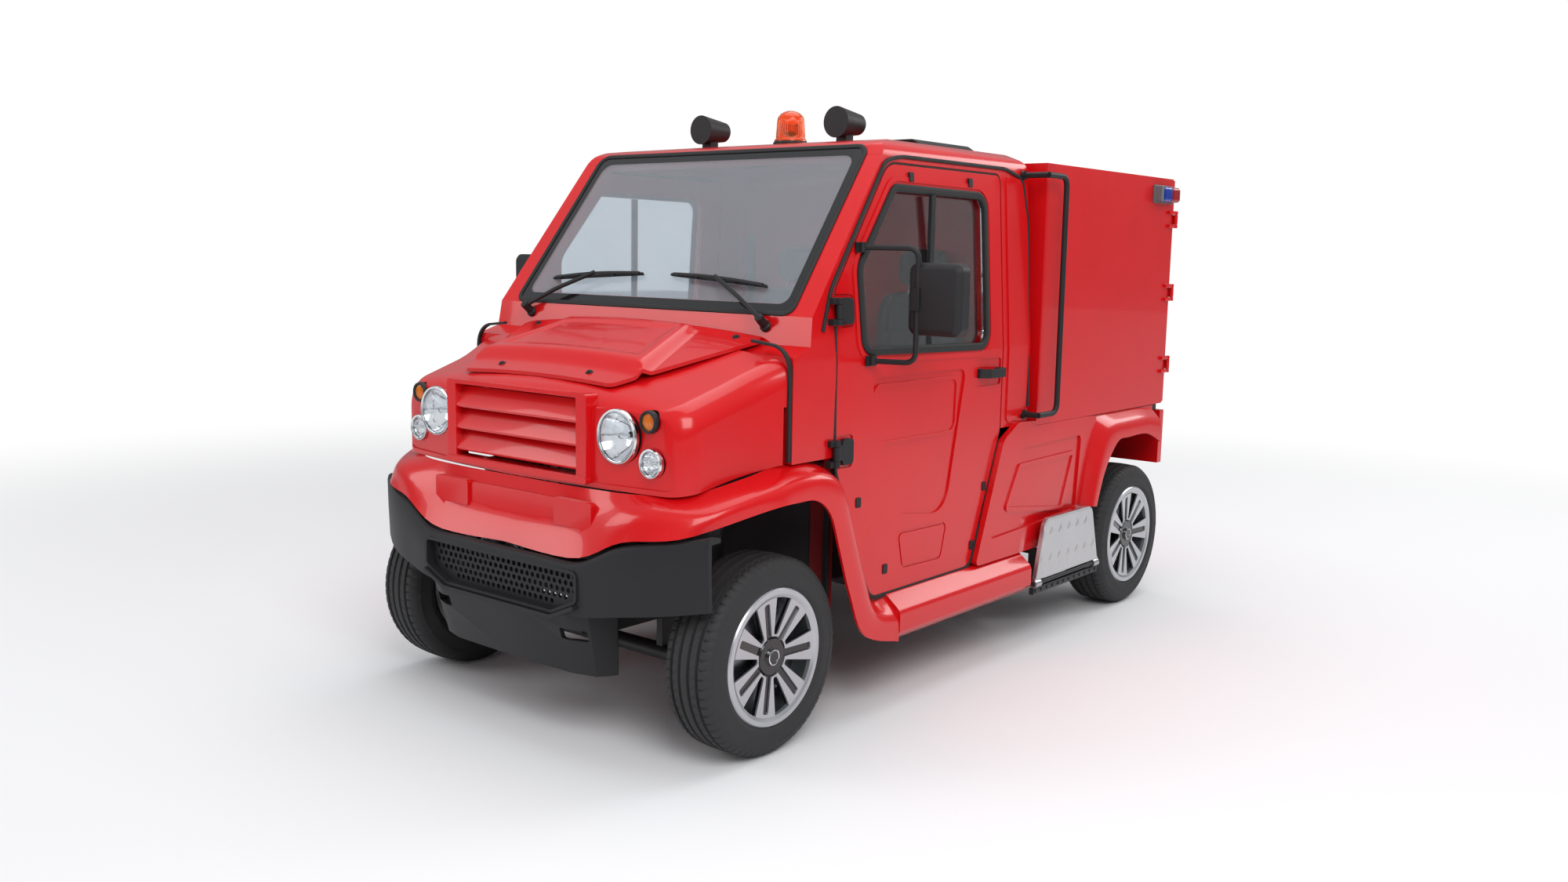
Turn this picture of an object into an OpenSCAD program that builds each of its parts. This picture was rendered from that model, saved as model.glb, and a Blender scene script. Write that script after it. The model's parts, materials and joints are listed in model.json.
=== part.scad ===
// Small electric fire truck: two-seat cab, equipment box behind, spoked wheel covers.
// Millimetres. +Z is up, -Y is forward, +X is the vehicle's left-hand side.
// The origin is on the ground, midway between the front of the bumper and the rear of the box doors.
// Stations named *_s are distances behind the front axle.

/* [Overall] */
// Distance between the front and rear axles
wheelbase = 2230; // [1900:10:2700]
// Front axle to the face of the front bumper
front_overhang = 390; // [370:5:460]
// Rear axle to the back of the equipment box doors
rear_overhang = 310; // [290:5:600]
// Width over the wheel flares and sills
body_w = 1484; // [1300:4:1900]
// Height of the roof at the cab's centre line
roof_h = 1735; // [1550:5:2100]

/* [Wheels] */
// Outside diameter of a tyre
tyre_d = 560; // [480:5:600]
// Width of a tyre
tyre_w = 175; // [145:5:190]
// Diameter of the spoked wheel cover
cover_d = 388; // [330:2:420]
// Number of paired spokes in a cover
spokes = 9; // [6:1:12]
// Steering angle either side of straight ahead
steer_deg = 30; // [20:1:32]
// Radius of the stub axles
spindle_r = 18; // [14:1:24]

/* [Cab] */
// Cab width at the door skins, below the belt line
cab_w = 1360; // [1200:4:1760]
// How far each cab side leans in from the belt to the roof edge
cab_lean = 42; // [20:1:70]
// Height of the belt line under the door windows
belt_h = 1070; // [1000:5:1120]
// Height of the cab floor
floor_h = 415; // [400:5:450]
// Height of the lower edge of the doors
door_sill_h = 350; // [330:5:380]
// Front edge of the doors, behind the front axle
door_front_s = 300; // [290:5:330]
// Rear edge of the doors, behind the front axle
door_rear_s = 1225; // [1150:5:1290]
// Back of the cab, behind the front axle
cab_back_s = 1415; // [1380:5:1500]
// Foot of the windscreen, behind the front axle
screen_foot_s = 190; // [170:5:220]
// Height of the foot of the windscreen
screen_foot_h = 1200; // [1160:5:1240]
// How far the windscreen runs back from foot to top
screen_run = 392; // [300:2:460]
// Thickness of the doors and cab walls
door_t = 42; // [30:1:55]
// Gap round each door
door_gap = 7; // [6:0.5:10]

/* [Nose] */
// Height of the joint between nose panel and lower valance
nose_foot_h = 738; // [700:2:760]
// Half width of the grille opening
grille_half_w = 262; // [200:2:280]
// Number of louvres in the grille
louvres = 4; // [3:1:6]
// Diameter of a headlamp
headlamp_d = 146; // [120:2:160]

/* [Equipment box] */
// Width of the equipment box
box_w = 1400; // [1240:4:1700]
// Height of the underside of the box
box_floor_h = 790; // [770:5:840]
// Height of the top of the box
box_top_h = 1698; // [1500:2:2000]
// Thickness of the box walls
box_wall = 24; // [18:1:40]
// Gap between the cab and the box
box_gap = 30; // [20:1:60]

/* [Hidden] */
$fn = 48;
eps = 0.01;
run_gap = 0.3;

overall_l = front_overhang + wheelbase + rear_overhang;
front_y = -overall_l / 2 + front_overhang;
rear_y = front_y + wheelbase;
back_y = overall_l / 2;
function at(s) = front_y + s;

half_w = body_w / 2;
cab_x = cab_w / 2;
track_x = half_w - 20 - tyre_w / 2;
tyre_r = tyre_d / 2;
rim_r = cover_d / 2 - 14;
kingpin_x = track_x - 72;
kingpin_r = 17;

red = [0.8, 0.07, 0.08];
dark = [0.09, 0.09, 0.1];
steel = [0.45, 0.46, 0.48];
silver = [0.78, 0.79, 0.8];

// ---------- shared helpers ----------

module both_sides() {
    children();
    mirror([1, 0, 0]) children();
}

// Side-view outline (points are [station, height]) carried across the vehicle from x0 to x1.
module side_slab(x0, x1) {
    translate([x0, front_y, 0]) rotate([90, 0, 90]) linear_extrude(x1 - x0) children();
}

// Front-view outline (points are [x, height]) carried from station s0 to station s1.
module front_slab(s0, s1) {
    translate([0, at(s1), 0]) rotate([90, 0, 0]) linear_extrude(s1 - s0) children();
}

// Plan outline (points are [x, station]) carried from height z0 to z1.
module plan_slab(z0, z1) {
    translate([0, front_y, z0]) linear_extrude(z1 - z0) children();
}

module box_at(x0, x1, s0, s1, z0, z1) {
    translate([x0, at(s0), z0]) cube([x1 - x0, s1 - s0, z1 - z0]);
}

module tube_x(x0, x1, s, z, r) {
    translate([x0, at(s), z]) rotate([0, 90, 0]) cylinder(h = x1 - x0, r = r);
}

module tube_y(x, s0, s1, z, r) {
    translate([x, at(s1), z]) rotate([90, 0, 0]) cylinder(h = s1 - s0, r = r);
}

function unit(v) = v / norm(v);
function turn_of(a, b) = a[0] * b[1] - a[1] * b[0];

// Outline from corners [u, v, radius], with each corner rounded to its radius.
function corner_arc(p, a, b, r, n = 6) =
    let (u = unit(a - p), w = unit(b - p))
    let (half = acos(max(-1, min(1, u * w))) / 2)
    let (c = p + unit(u + w) * r / sin(half))
    let (t0 = p + u * r / tan(half) - c, t1 = p + w * r / tan(half) - c)
    let (a0 = atan2(t0[1], t0[0]), sweep = atan2(turn_of(t0, t1), t0 * t1))
    [for (i = [0:n]) c + r * [cos(a0 + sweep * i / n), sin(a0 + sweep * i / n)]];
function rounded(pts) = [for (i = [0:len(pts) - 1])
    let (m = len(pts), p = pts[i], q = pts[(i + m - 1) % m], s = pts[(i + 1) % m])
    each (p[2] > 0 ? corner_arc([p[0], p[1]], [q[0], q[1]], [s[0], s[1]], p[2]) : [[p[0], p[1]]])];

module outline(pts) {
    polygon(rounded(pts));
}

// Outline mirrored about x = 0, from the corners of its right-hand half.
function mirror_half(pts) = concat(pts, [for (i = [len(pts) - 1:-1:0]) [-pts[i][0], pts[i][1], pts[i][2]]]);

// Closed solid through rings of equal length; the ends are closed by flat caps.
module loft(rings) {
    n = len(rings[0]);
    m = len(rings);
    pts = [for (r = rings) each r];
    walls = [for (i = [0:m - 2], j = [0:n - 1])
        [i * n + j, i * n + (j + 1) % n, (i + 1) * n + (j + 1) % n, (i + 1) * n + j]];
    first = [for (j = [n - 1:-1:0]) j];
    last = [for (j = [0:n - 1]) (m - 1) * n + j];
    polyhedron(points = pts, faces = concat([first], walls, [last]), convexity = 8);
}

// Smooth curve through key values: value of the keys at t, where t counts keys.
function spline(keys, t) =
    let (n = len(keys), i = min(n - 2, floor(t)), f = t - i)
    let (p0 = keys[max(0, i - 1)], p1 = keys[i], p2 = keys[i + 1], p3 = keys[min(n - 1, i + 2)])
    0.5 * (2 * p1 + (p2 - p0) * f + (2 * p0 - 5 * p1 + 4 * p2 - p3) * f * f
        + (3 * p1 - p0 - 3 * p2 + p3) * f * f * f);

// ---------- cab form ----------

roof_edge_h = roof_h - 40;
screen_top_s = screen_foot_s + screen_run;
screen_top_h = roof_h - 22;
cab_top_x = cab_x - cab_lean;
roof_joint_h = roof_edge_h - 25;

// Half width of the cab skin at height z.
function skin_x(z) = z <= belt_h ? cab_x : cab_x - cab_lean * (z - belt_h) / (roof_edge_h - belt_h);

// Cross-section of the cab, drawn in by inset, with a gently crowned roof.
module cab_section(inset) {
    foot = nose_foot_h + 60;
    crown = [for (i = [0:8]) let (x = (cab_top_x - 70) * (1 - i / 8))
        [x, roof_h - inset - 14 * pow(x / cab_top_x, 2), 0]];
    half = concat([[cab_x - inset, foot, 0], [cab_x - inset, belt_h, 0],
        [cab_top_x - inset, roof_edge_h - inset, 45]], crown);
    polygon(rounded(mirror_half(half)));
}

// Side view of the cab, drawn in by inset.
module cab_profile(inset) {
    lean = inset / sin(atan2(screen_top_h - screen_foot_h, screen_run));
    outline([[100 + inset, nose_foot_h + 50, 0], [100 + inset, screen_foot_h - 78, 0],
        [screen_foot_s + lean, screen_foot_h, 0], [screen_top_s + lean, screen_top_h - inset, 60],
        [screen_top_s + 180, roof_h - inset, 0],
        [cab_back_s - inset, roof_h - inset, 70], [cab_back_s - inset, nose_foot_h + 50, 0]]);
}

module cab_form(inset) {
    intersection() {
        front_slab(0, cab_back_s + 100) cab_section(inset);
        side_slab(-cab_x - 10, cab_x + 10) cab_profile(inset);
    }
}

// Door outline, grown by grow.
door_corners = [[door_front_s, belt_h + 205, 60], [door_front_s, nose_foot_h + 25, 60],
    [door_front_s + 190, door_sill_h, 35], [door_rear_s - 170, door_sill_h, 45],
    [door_rear_s, belt_h - 280, 60], [door_rear_s, roof_edge_h - 52, 25],
    [screen_top_s - 5, roof_edge_h - 52, 75]];
module door_outline(grow = 0) {
    offset_outline(door_corners, grow);
}
// Outline with every edge moved out by grow, corners kept round.
function edge_out(a, b, g) = let (d = unit(b - a)) [d[1], -d[0]] * g;
function grown(pts, g) = [for (i = [0:len(pts) - 1])
    let (m = len(pts), p = [pts[i][0], pts[i][1]])
    let (q = [pts[(i + m - 1) % m][0], pts[(i + m - 1) % m][1]], s = [pts[(i + 1) % m][0], pts[(i + 1) % m][1]])
    let (n0 = edge_out(q, p, 1), n1 = edge_out(p, s, 1), k = g / (1 + n0 * n1))
    [p[0] + (n0 + n1)[0] * k, p[1] + (n0 + n1)[1] * k, pts[i][2] > 0 ? max(1, pts[i][2] + g) : 0]];
function spin(pts) = [for (i = [0:len(pts) - 1]) let (a = pts[i], b = pts[(i + 1) % len(pts)]) a[0] * b[1] - a[1] * b[0]];
function total(v, i = 0) = i >= len(v) ? 0 : v[i] + total(v, i + 1);
module offset_outline(pts, g) {
    out = total(spin(pts)) > 0 ? g : -g;
    polygon(rounded(grown(pts, out)));
}

window_corners = [[door_front_s + 130, belt_h + 25, 42], [door_front_s + 115, belt_h + 270, 70],
    [screen_top_s + 20, roof_edge_h - 120, 45], [door_rear_s - 100, roof_edge_h - 124, 50],
    [door_rear_s - 100, belt_h + 12, 50]];

// ---------- running gear ----------

rail_x = 300;
rail_w = 50;
rail_z0 = 325;
rail_z1 = floor_h - 4;
rail_front_s = 60 - front_overhang + 20;
rail_rear_s = wheelbase + rear_overhang - 60;
step_s0 = wheelbase - tyre_r - 545;
step_s1 = wheelbase - tyre_r - 50;
step_x = half_w - 6;
step_z = 228;
step_pin_r = 8;

rail_in = rail_x - rail_w / 2;
rail_out_x = rail_x + rail_w / 2;
bracket_t = 20;

module chassis_rails() {
    color(dark) both_sides() box_at(rail_in, rail_out_x, rail_front_s, rail_rear_s, rail_z0, rail_z1);
}

module cross_members() {
    color(dark) difference() {
        union() {
            for (s = [rail_front_s, -70, 40, door_front_s + 60, 900, cab_back_s, wheelbase - 260, wheelbase + 180, rail_rear_s - 50])
                box_at(-rail_in, rail_in, s, s + 45, rail_z0 + 8, rail_z1 - 8);
            box_at(-30, 30, rail_rear_s - 6, rail_rear_s + 40, rail_z0 + 10, rail_z1 - 15);
            for (s = [700, 1250]) box_at(50 - cab_x, cab_x - 50, s, s + 40, rail_z0 - bracket_t, rail_z0);
        }
        translate([0, at(rail_rear_s + 22), rail_z0]) cylinder(h = 100, r = tow_eye_r);
    }
}

module chassis_brackets() {
    color(dark) both_sides() {
        // side step arms and the step's hinge rod
        for (s = [step_s0 + 50, step_s1 - 80]) {
            box_at(rail_out_x, step_x - 30, s, s + 30, rail_z0, rail_z0 + bracket_t);
            box_at(step_x - 50, step_x - 25, s, s + 30, step_z - 12, rail_z0 + bracket_t);
            box_at(step_x - 50, step_x, s, s + 30, step_z - 12, step_z + 12);
        }
        tube_y(step_x, step_s0, step_s1, step_z, step_pin_r);
        // axle hangers and spring towers
        box_at(rail_x - 12, rail_x + 12, -28, 28, tyre_r - 45, rail_z0);
        box_at(rail_x - 12, rail_x + 12, -40, 40, rail_z1, strut_top);
        box_at(rail_x - 12, kingpin_x - 50, -45, 45, strut_top, strut_top + 12);
    }
}
tow_eye_r = 11;

strut_top = nose_foot_h - 50;
module front_axle() {
    hub_z = tyre_r;
    color(dark) {
        tube_x(-kingpin_x + 95, kingpin_x - 95, 0, hub_z - 70, 24);
        both_sides() {
            for (z = [hub_z - 72, hub_z + 56]) difference() {
                union() {
                    translate([kingpin_x, front_y, z]) cylinder(h = 16, r = kingpin_r + 11);
                    box_at(kingpin_x - 100, kingpin_x - kingpin_r - 2, -14, 14, z, z + 16);
                }
                translate([kingpin_x, front_y, z - 1]) cylinder(h = 18, r = kingpin_r + run_gap);
            }
            box_at(kingpin_x - 110, kingpin_x - 84, -28, 28, hub_z - 86, hub_z + 90);
            translate([kingpin_x - 97, front_y, hub_z + 80]) cylinder(h = strut_top - hub_z - 80, r = 26);
            translate([kingpin_x - 97, front_y, hub_z + 150]) cylinder(h = strut_top - hub_z - 150, r = 42);
        }
    }
}

module rear_axle() {
    color(dark) {
        tube_x(-track_x + 60, track_x - 60, wheelbase, tyre_r, 38);
        tube_x(-track_x - 40, track_x + 40, wheelbase, tyre_r, spindle_r);
        both_sides() box_at(rail_x - 22, rail_x + 22, wheelbase - 330, wheelbase + 200, tyre_r + 28, rail_z0);
    }
    color(steel) tube_x(-150, 110, wheelbase, tyre_r, 105);
}

module battery_pack() {
    color([0.2, 0.22, 0.25]) box_at(-rail_x - 20, rail_x + 20, box_front_s + 85, wheelbase - 345, rail_z1, box_floor_h - 120);
}

module knuckle(side) {
    z = tyre_r;
    color(steel) mirror([side < 0 ? 1 : 0, 0, 0]) {
        translate([kingpin_x, front_y, z - 82]) cylinder(h = 164, r = kingpin_r);
        translate([kingpin_x, front_y, z - 50]) cylinder(h = 100, r = kingpin_r + 12);
        tube_x(kingpin_x, track_x + 40, 0, z, spindle_r);
        tube_x(kingpin_x + 30, kingpin_x + 42, 0, z, 110);
    }
}

tyre_in_r = rim_r + run_gap;
module tyre(x, y) {
    w = tyre_w / 2;
    shoulder = 26;
    profile = rounded([[tyre_in_r, -w + 30, 4], [tyre_in_r + 18, -w + 16, 8], [(tyre_in_r + tyre_r) / 2, -w, 30],
        [tyre_r - 20, -w + 8, 16], [tyre_r - 3, -w + shoulder, 8], [tyre_r, 0, 0],
        [tyre_r - 3, w - shoulder, 8], [tyre_r - 20, w - 8, 16], [(tyre_in_r + tyre_r) / 2, w, 30],
        [tyre_in_r + 18, w - 16, 8], [tyre_in_r, w - 30, 4]]);
    color([0.06, 0.06, 0.065]) translate([x, y, tyre_r]) rotate([0, 90, 0]) rotate_extrude($fn = 96) difference() {
        polygon(profile);
        for (g = [-42, -15, 15, 42]) translate([tyre_r - 9, g - 4]) square([20, 8]);
    }
}

// Wheel: drop-centre rim, hub and the spoked cover outside it. side is +1 where the cover faces +X.
module wheel(x, y, side) {
    w = tyre_w / 2;
    face = w - 4;
    translate([x, y, tyre_r]) rotate([0, side * 90, 0]) {
        color(steel) rotate_extrude($fn = 96) polygon([[rim_r - 12, -w + 16], [rim_r, -w + 16], [rim_r, -w + 40],
            [rim_r - 5, -w + 54], [rim_r - 5, w - 54], [rim_r, w - 40], [rim_r, w - 16], [rim_r - 12, w - 16]]);
        color(dark) difference() {
            union() {
                rotate_extrude($fn = 96) polygon([[spindle_r + run_gap, -10], [60, -10], [60, 12], [110, 20],
                    [rim_r - 7, 8], [rim_r - 7, 16], [110, 32], [spindle_r + run_gap, 36]]);
            }
            for (i = [0:11]) rotate(i * 30) translate([130, 0, -40]) cylinder(h = 100, r = 14);
        }
        color(silver) rotate_extrude($fn = 96) polygon([[rim_r - 13, face - 10], [cover_d / 2, face - 10],
            [cover_d / 2, face - 4], [cover_d / 2 - 4, face], [rim_r - 3, face], [rim_r - 13, face - 6]]);
        color(dark) difference() {
            translate([0, 0, 30]) cylinder(h = face - 34, r = 44);
            translate([0, 0, 20]) cylinder(h = 22, r = spindle_r + run_gap);
        }
        color(silver) for (i = [0:spokes - 1], k = [-1, 1]) rotate(i * 360 / spokes)
            translate([0, 0, face - 22]) linear_extrude(14)
                polygon([[36, k * 4], [rim_r - 9, k * 9], [rim_r - 9, k * 33], [36, k * 13]]);
    }
}

// ---------- cab ----------

module cab_floor() {
    color([0.2, 0.2, 0.2]) {
        box_at(-cab_x + door_t + 2, cab_x - door_t - 2, door_front_s + 60, cab_back_s - 2, floor_h - 4, floor_h + 8);
        box_at(-500, 500, 840, cab_back_s - 60, floor_h + 8, floor_h + 245);
        box_at(-560, 560, door_front_s + 48, door_front_s + 60, floor_h - 4, nose_foot_h + 120);
    }
}

module cab_shell() {
    glass_half_top = cab_top_x - 66;
    glass_half_foot = cab_x - 90;
    color(red) difference() {
        cab_form(0);
        cab_form(door_t);
        // below the cab
        box_at(-cab_x, cab_x, -200, 2000, 0, nose_foot_h + 55);
        // roof panel
        box_at(-cab_x, cab_x, -200, 2000, roof_joint_h, roof_h + 100);
        // door openings
        side_slab(-cab_x - 20, cab_x + 20) door_outline(door_gap);
        // windscreen opening
        screen_cut(glass_half_foot - 35, glass_half_top - 30, 45, 200);
        screen_cut(glass_half_foot, glass_half_top, 8, glass_t + run_gap);
        // open to the nose
        box_at(-cab_x + door_t, cab_x - door_t, 0, 250, 0, screen_foot_h - 120);
    }
    color(dark) both_sides() for (z = hinge_heights) hinge_pin(z);
}

glass_t = 8;
screen_slope = atan2(screen_top_h - screen_foot_h, screen_run);
screen_len = norm([screen_top_h - screen_foot_h, screen_run]);
// Slab in the windscreen's plane: half widths at foot and top, margin up from the foot, depth inward.
module screen_cut(foot_x, top_x, margin, depth) {
    translate([0, at(screen_foot_s), screen_foot_h]) rotate([screen_slope, 0, 0])
        translate([0, 0, -depth]) linear_extrude(depth + 20)
            outline(mirror_half([[foot_x, margin, 30], [top_x, screen_len - 18 - margin * 0.6, 40]]));
}

module windscreen() {
    color([0.75, 0.85, 0.85, 0.4]) translate([0, at(screen_foot_s), screen_foot_h]) rotate([screen_slope, 0, 0])
        translate([0, 0, -glass_t]) linear_extrude(glass_t)
            outline(mirror_half([[cab_x - 92, 10, 30], [cab_top_x - 68, screen_len - 25, 40]]));
}

hinge_heights = [belt_h - 260, belt_h + 145];
hinge_x = cab_x + 14;
hinge_r = 11;
hinge_pin_r = 5;
module hinge_pin(z) {
    translate([hinge_x, at(door_front_s - 14), z - 38]) cylinder(h = 76, r = hinge_pin_r);
    for (k = [-1, 1]) {
        translate([hinge_x, at(door_front_s - 14), z + k * 30 - 9]) cylinder(h = 18, r = hinge_r);
        box_at(skin_x(z) - 8, hinge_x, door_front_s - 40, door_front_s - 14, z + k * 30 - 9, z + k * 30 + 9);
    }
}

module roof_panel() {
    color(red) difference() {
        cab_form(0);
        cab_form(20);
        box_at(-cab_x, cab_x, -200, 2000, 0, roof_joint_h + run_gap);
        screen_cut(cab_x - 90, cab_top_x - 66, 8, glass_t + run_gap);
        screen_cut(cab_x - 125, cab_top_x - 96, 45, 200);
    }
}

module door(side) {
    color(red) mirror([side < 0 ? 1 : 0, 0, 0]) {
        difference() {
            intersection() {
                side_slab(cab_x - 150, cab_x + 20) door_outline(0);
                front_slab(door_front_s - 20, door_rear_s + 20) polygon([[cab_x, 0], [cab_x, belt_h],
                    [cab_top_x, roof_edge_h], [cab_top_x - door_t, roof_edge_h], [cab_x - door_t, belt_h], [cab_x - door_t, 0]]);
            }
            side_slab(cab_x - 200, cab_x + 20) outline(window_corners);
        }
        color(dark) for (z = hinge_heights) difference() {
            union() {
                translate([hinge_x, at(door_front_s - 14), z - 20]) cylinder(h = 40, r = hinge_r);
                box_at(skin_x(z - 20) + 2, hinge_x + 3, door_front_s - 14, door_front_s + 55, z - 20, z + 20);
                box_at(skin_x(z) - 6, hinge_x, door_front_s + 10, door_front_s + 50, z - 20, z + 20);
            }
            translate([hinge_x, at(door_front_s - 14), z - 40]) cylinder(h = 80, r = hinge_pin_r + run_gap);
        }
        color(dark) {
            box_at(cab_x - 2, cab_x + 26, door_rear_s - 110, door_rear_s - 90, belt_h - 105, belt_h - 75);
            box_at(cab_x + 20, cab_x + 32, door_rear_s - 110, door_rear_s - 10, belt_h - 105, belt_h - 78);
            box_at(cab_x - 2, cab_x + 26, door_rear_s - 30, door_rear_s - 10, belt_h - 105, belt_h - 75);
        }
    }
}

module door_glass(side) {
    color([0.6, 0.7, 0.7, 0.4]) mirror([side < 0 ? 1 : 0, 0, 0]) intersection() {
        side_slab(cab_x - 150, cab_x + 20) offset_outline(window_corners, -run_gap);
        front_slab(door_front_s - 20, door_rear_s + 20) polygon([[cab_x - 14, 0], [cab_x - 14, belt_h],
            [cab_top_x - 14, roof_edge_h], [cab_top_x - 22, roof_edge_h], [cab_x - 22, belt_h], [cab_x - 22, 0]]);
    }
}

mirror_x = cab_x + 140;
mirror_s = 485;
module mirror_arm(side) {
    z1 = belt_h + 330;
    z0 = belt_h + 0;
    color(dark) mirror([side < 0 ? 1 : 0, 0, 0]) {
        tube_x(skin_x(z1), mirror_x + 8, mirror_s, z1, 8);
        tube_x(skin_x(z0), mirror_x + 8, mirror_s, z0, 8);
        translate([mirror_x, at(mirror_s), z0 - 8]) cylinder(h = z1 - z0 + 16, r = 8);
        box_at(mirror_x - 35, mirror_x + 145, mirror_s + 10, mirror_s + 60, z0 + 60, z0 + 275);
        box_at(mirror_x - 8, mirror_x + 8, mirror_s, mirror_s + 20, z0 + 100, z0 + 240);
    }
}

// ---------- nose ----------

nose_s = 60 - front_overhang + 20;
nose_back_s = 99.7;
nose_side_x = cab_x - 72;
// Height of the bonnet skin.
bonnet_front_s = -238;
bonnet_rear_s = 96;
bonnet_rise = 0.33;
function bonnet_z(x, s) = nose_foot_h + 277 + bonnet_rise * (s - bonnet_front_s) - 36 * pow(x / 600, 2);

// Ring of the nose at station s, drawn in by inset.
function nose_half_w(s) = let (t = max(0, min(1, (s - nose_s) / (nose_back_s - nose_s)))) nose_side_x + (cab_x - 6 - nose_side_x) * t * t;
function nose_ring(s, front_in, inset) =
    let (w = nose_half_w(s) - inset - front_in, top = bonnet_z(0, s) - inset - front_in * 0.6)
    let (r = 70, n = 8, drop = 2 + 36 * pow((w - r) / 600, 2))
    let (right = concat([[w, nose_foot_h + inset]], [for (i = [0:n]) [w - r + r * cos(90 * i / n), top - drop - r + r * sin(90 * i / n)]],
        [[w * 0.5, top - 36 * pow(w * 0.5 / 600, 2)], [0, top]]))
    concat([for (p = right) [p[0], at(s) + 60 * pow(p[0] / 600, 2) * (front_in > 0 || s < -100 ? 1 : max(0, (nose_back_s - s) / (nose_back_s + 100))), p[1]]],
        [for (i = [len(right) - 2:-1:0]) let (p = right[i]) [-p[0], at(s) + 60 * pow(p[0] / 600, 2) * (front_in > 0 || s < -100 ? 1 : max(0, (nose_back_s - s) / (nose_back_s + 100))), p[1]]]);
module nose_form(inset) {
    fr = 60;
    front = [for (i = [0:5]) let (a = 90 * i / 5) nose_ring(nose_s + inset + fr * (1 - sin(a)), fr * (1 - cos(a)) , inset)];
    rear = [for (i = [0:5]) nose_ring(nose_s + inset + fr + (nose_back_s - nose_s - inset - fr) * i / 5, 0, inset)];
    loft(concat([for (i = [5:-1:1]) nose_ring(nose_s + inset + fr * (1 - cos(90 - 90 * i / 5)) , fr * (1 - sin(90 - 90 * i / 5)), inset)], rear));
}

module nose_panel() {
    wall = 8;
    color(red) {
        difference() {
            nose_form(0);
            nose_form(wall);
            box_at(-cab_x, cab_x, nose_back_s - 20, nose_back_s + 50, 0, nose_foot_h + 220);
            side_slab(-cab_x - 20, cab_x + 20) polygon([[-260, 0], [-260, nose_foot_h], [-190, nose_foot_h + 10],
                [-60, nose_foot_h + 36], [80, nose_foot_h + 60], [130, nose_foot_h + 65], [130, 0]]);
            box_at(-nose_side_x + wall, nose_side_x - wall, nose_s + 30, 300, nose_foot_h - 20, nose_foot_h + 20);
            box_at(-grille_half_w, grille_half_w, nose_s - 50, nose_s + 60, nose_foot_h + 20, nose_foot_h + 215);
            both_sides() for (l = lamp_places) translate([l[0], at(-400), l[1]]) rotate([-90, 0, 0]) cylinder(h = 200, r = l[2] / 2 + 1);
        }
        front_slab(nose_s + 3, nose_s + 38) difference() {
            outline([[-grille_half_w - 12, nose_foot_h + 8, 8], [grille_half_w + 12, nose_foot_h + 8, 8],
                [grille_half_w + 12, nose_foot_h + 227, 8], [-grille_half_w - 12, nose_foot_h + 227, 8]]);
            outline([[-grille_half_w, nose_foot_h + 20, 4], [grille_half_w, nose_foot_h + 20, 4],
                [grille_half_w, nose_foot_h + 215, 4], [-grille_half_w, nose_foot_h + 215, 4]]);
        }
        for (i = [0:louvres - 1]) let (z = nose_foot_h + 30 + i * 175 / louvres)
            side_slab(-grille_half_w - 4, grille_half_w + 4) polygon([[nose_s + 2, z], [nose_s + 34, z + 24], [nose_s + 34, z + 30], [nose_s - 2, z + 14]]);
    }
}

headlamp_x = 393;
// Lamp holes in the nose: x, height, diameter.
lamp_places = [[headlamp_x, nose_foot_h + 147, headlamp_d],
    [headlamp_x + headlamp_d / 2 + 30, nose_foot_h + 194, 58],
    [headlamp_x + headlamp_d / 2 + 37, nose_foot_h + 84, 78]];

module lamp(l, depth) {
    s = nose_s + 60 * pow(l[0] / 600, 2);
    translate([l[0], at(s - 4), l[1]]) rotate([-90, 0, 0]) cylinder(h = depth, r = l[2] / 2);
}
module headlamps() {
    color("white") both_sides() lamp(lamp_places[0], 60);
}
module signal_lamps() {
    color("orange") both_sides() lamp(lamp_places[1], 30);
    color("white") both_sides() lamp(lamp_places[2], 30);
    color([0.7, 0, 0]) both_sides() box_at(half_w - 170, half_w - 90, wheelbase + rear_overhang - 30, wheelbase + rear_overhang - 4, box_floor_h - 190, box_floor_h - 50);
}

bonnet_front_w = 326;
bonnet_rear_w = 545;
module bonnet() {
    n = 8;
    m = 8;
    function half_at(s) = let (t = (s - bonnet_front_s) / (bonnet_rear_s - bonnet_front_s))
        bonnet_front_w + (bonnet_rear_w - bonnet_front_w) * t;
    rings = [for (j = [0:m]) let (s = bonnet_front_s + (bonnet_rear_s - bonnet_front_s) * j / m, w = half_at(s))
        concat([for (i = [0:n]) let (x = w * (1 - 2 * i / n)) [x, at(s), bonnet_z(x, s) + 12]],
            [for (i = [n:-1:0]) let (x = w * (1 - 2 * i / n)) [x, at(s), bonnet_z(x, s) + 1]])];
    color(red) intersection() {
        loft(rings);
        plan_slab(nose_foot_h, roof_h) outline(mirror_half([[bonnet_front_w, bonnet_front_s + 4, 30],
            [bonnet_rear_w - 5, bonnet_rear_s - 2, 20]]));
    }
}

// ---------- lower front ----------

// Key sections from the centre round to the sill: root, crest and lip, each [x, station, height].
valance_end_s = 565;
valance_root = [[0, nose_s, nose_foot_h - 2], [260, nose_s + 2, nose_foot_h - 2], [470, nose_s + 36, nose_foot_h - 2],
    [590, -190, nose_foot_h + 8], [cab_x - 44, -60, nose_foot_h + 34], [cab_x - 30, 80, nose_foot_h + 58],
    [cab_x - 14, 200, nose_foot_h + 52], [cab_x - 6, 285, nose_foot_h + 10], [cab_x - 4, 345, nose_foot_h - 110],
    [cab_x - 2, 415, 480], [cab_x, 475, door_sill_h - 4], [cab_x + 4, valance_end_s, 335]];
valance_crest = [[0, -352, 706], [260, -352, 706], [520, -330, 700], [670, -235, 706], [half_w - 10, -90, 745],
    [half_w, 60, 772], [half_w, 185, 768], [half_w, 275, 720], [half_w, 330, 600], [half_w, 390, 440],
    [half_w, 450, 320], [half_w, valance_end_s, 285]];
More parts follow.
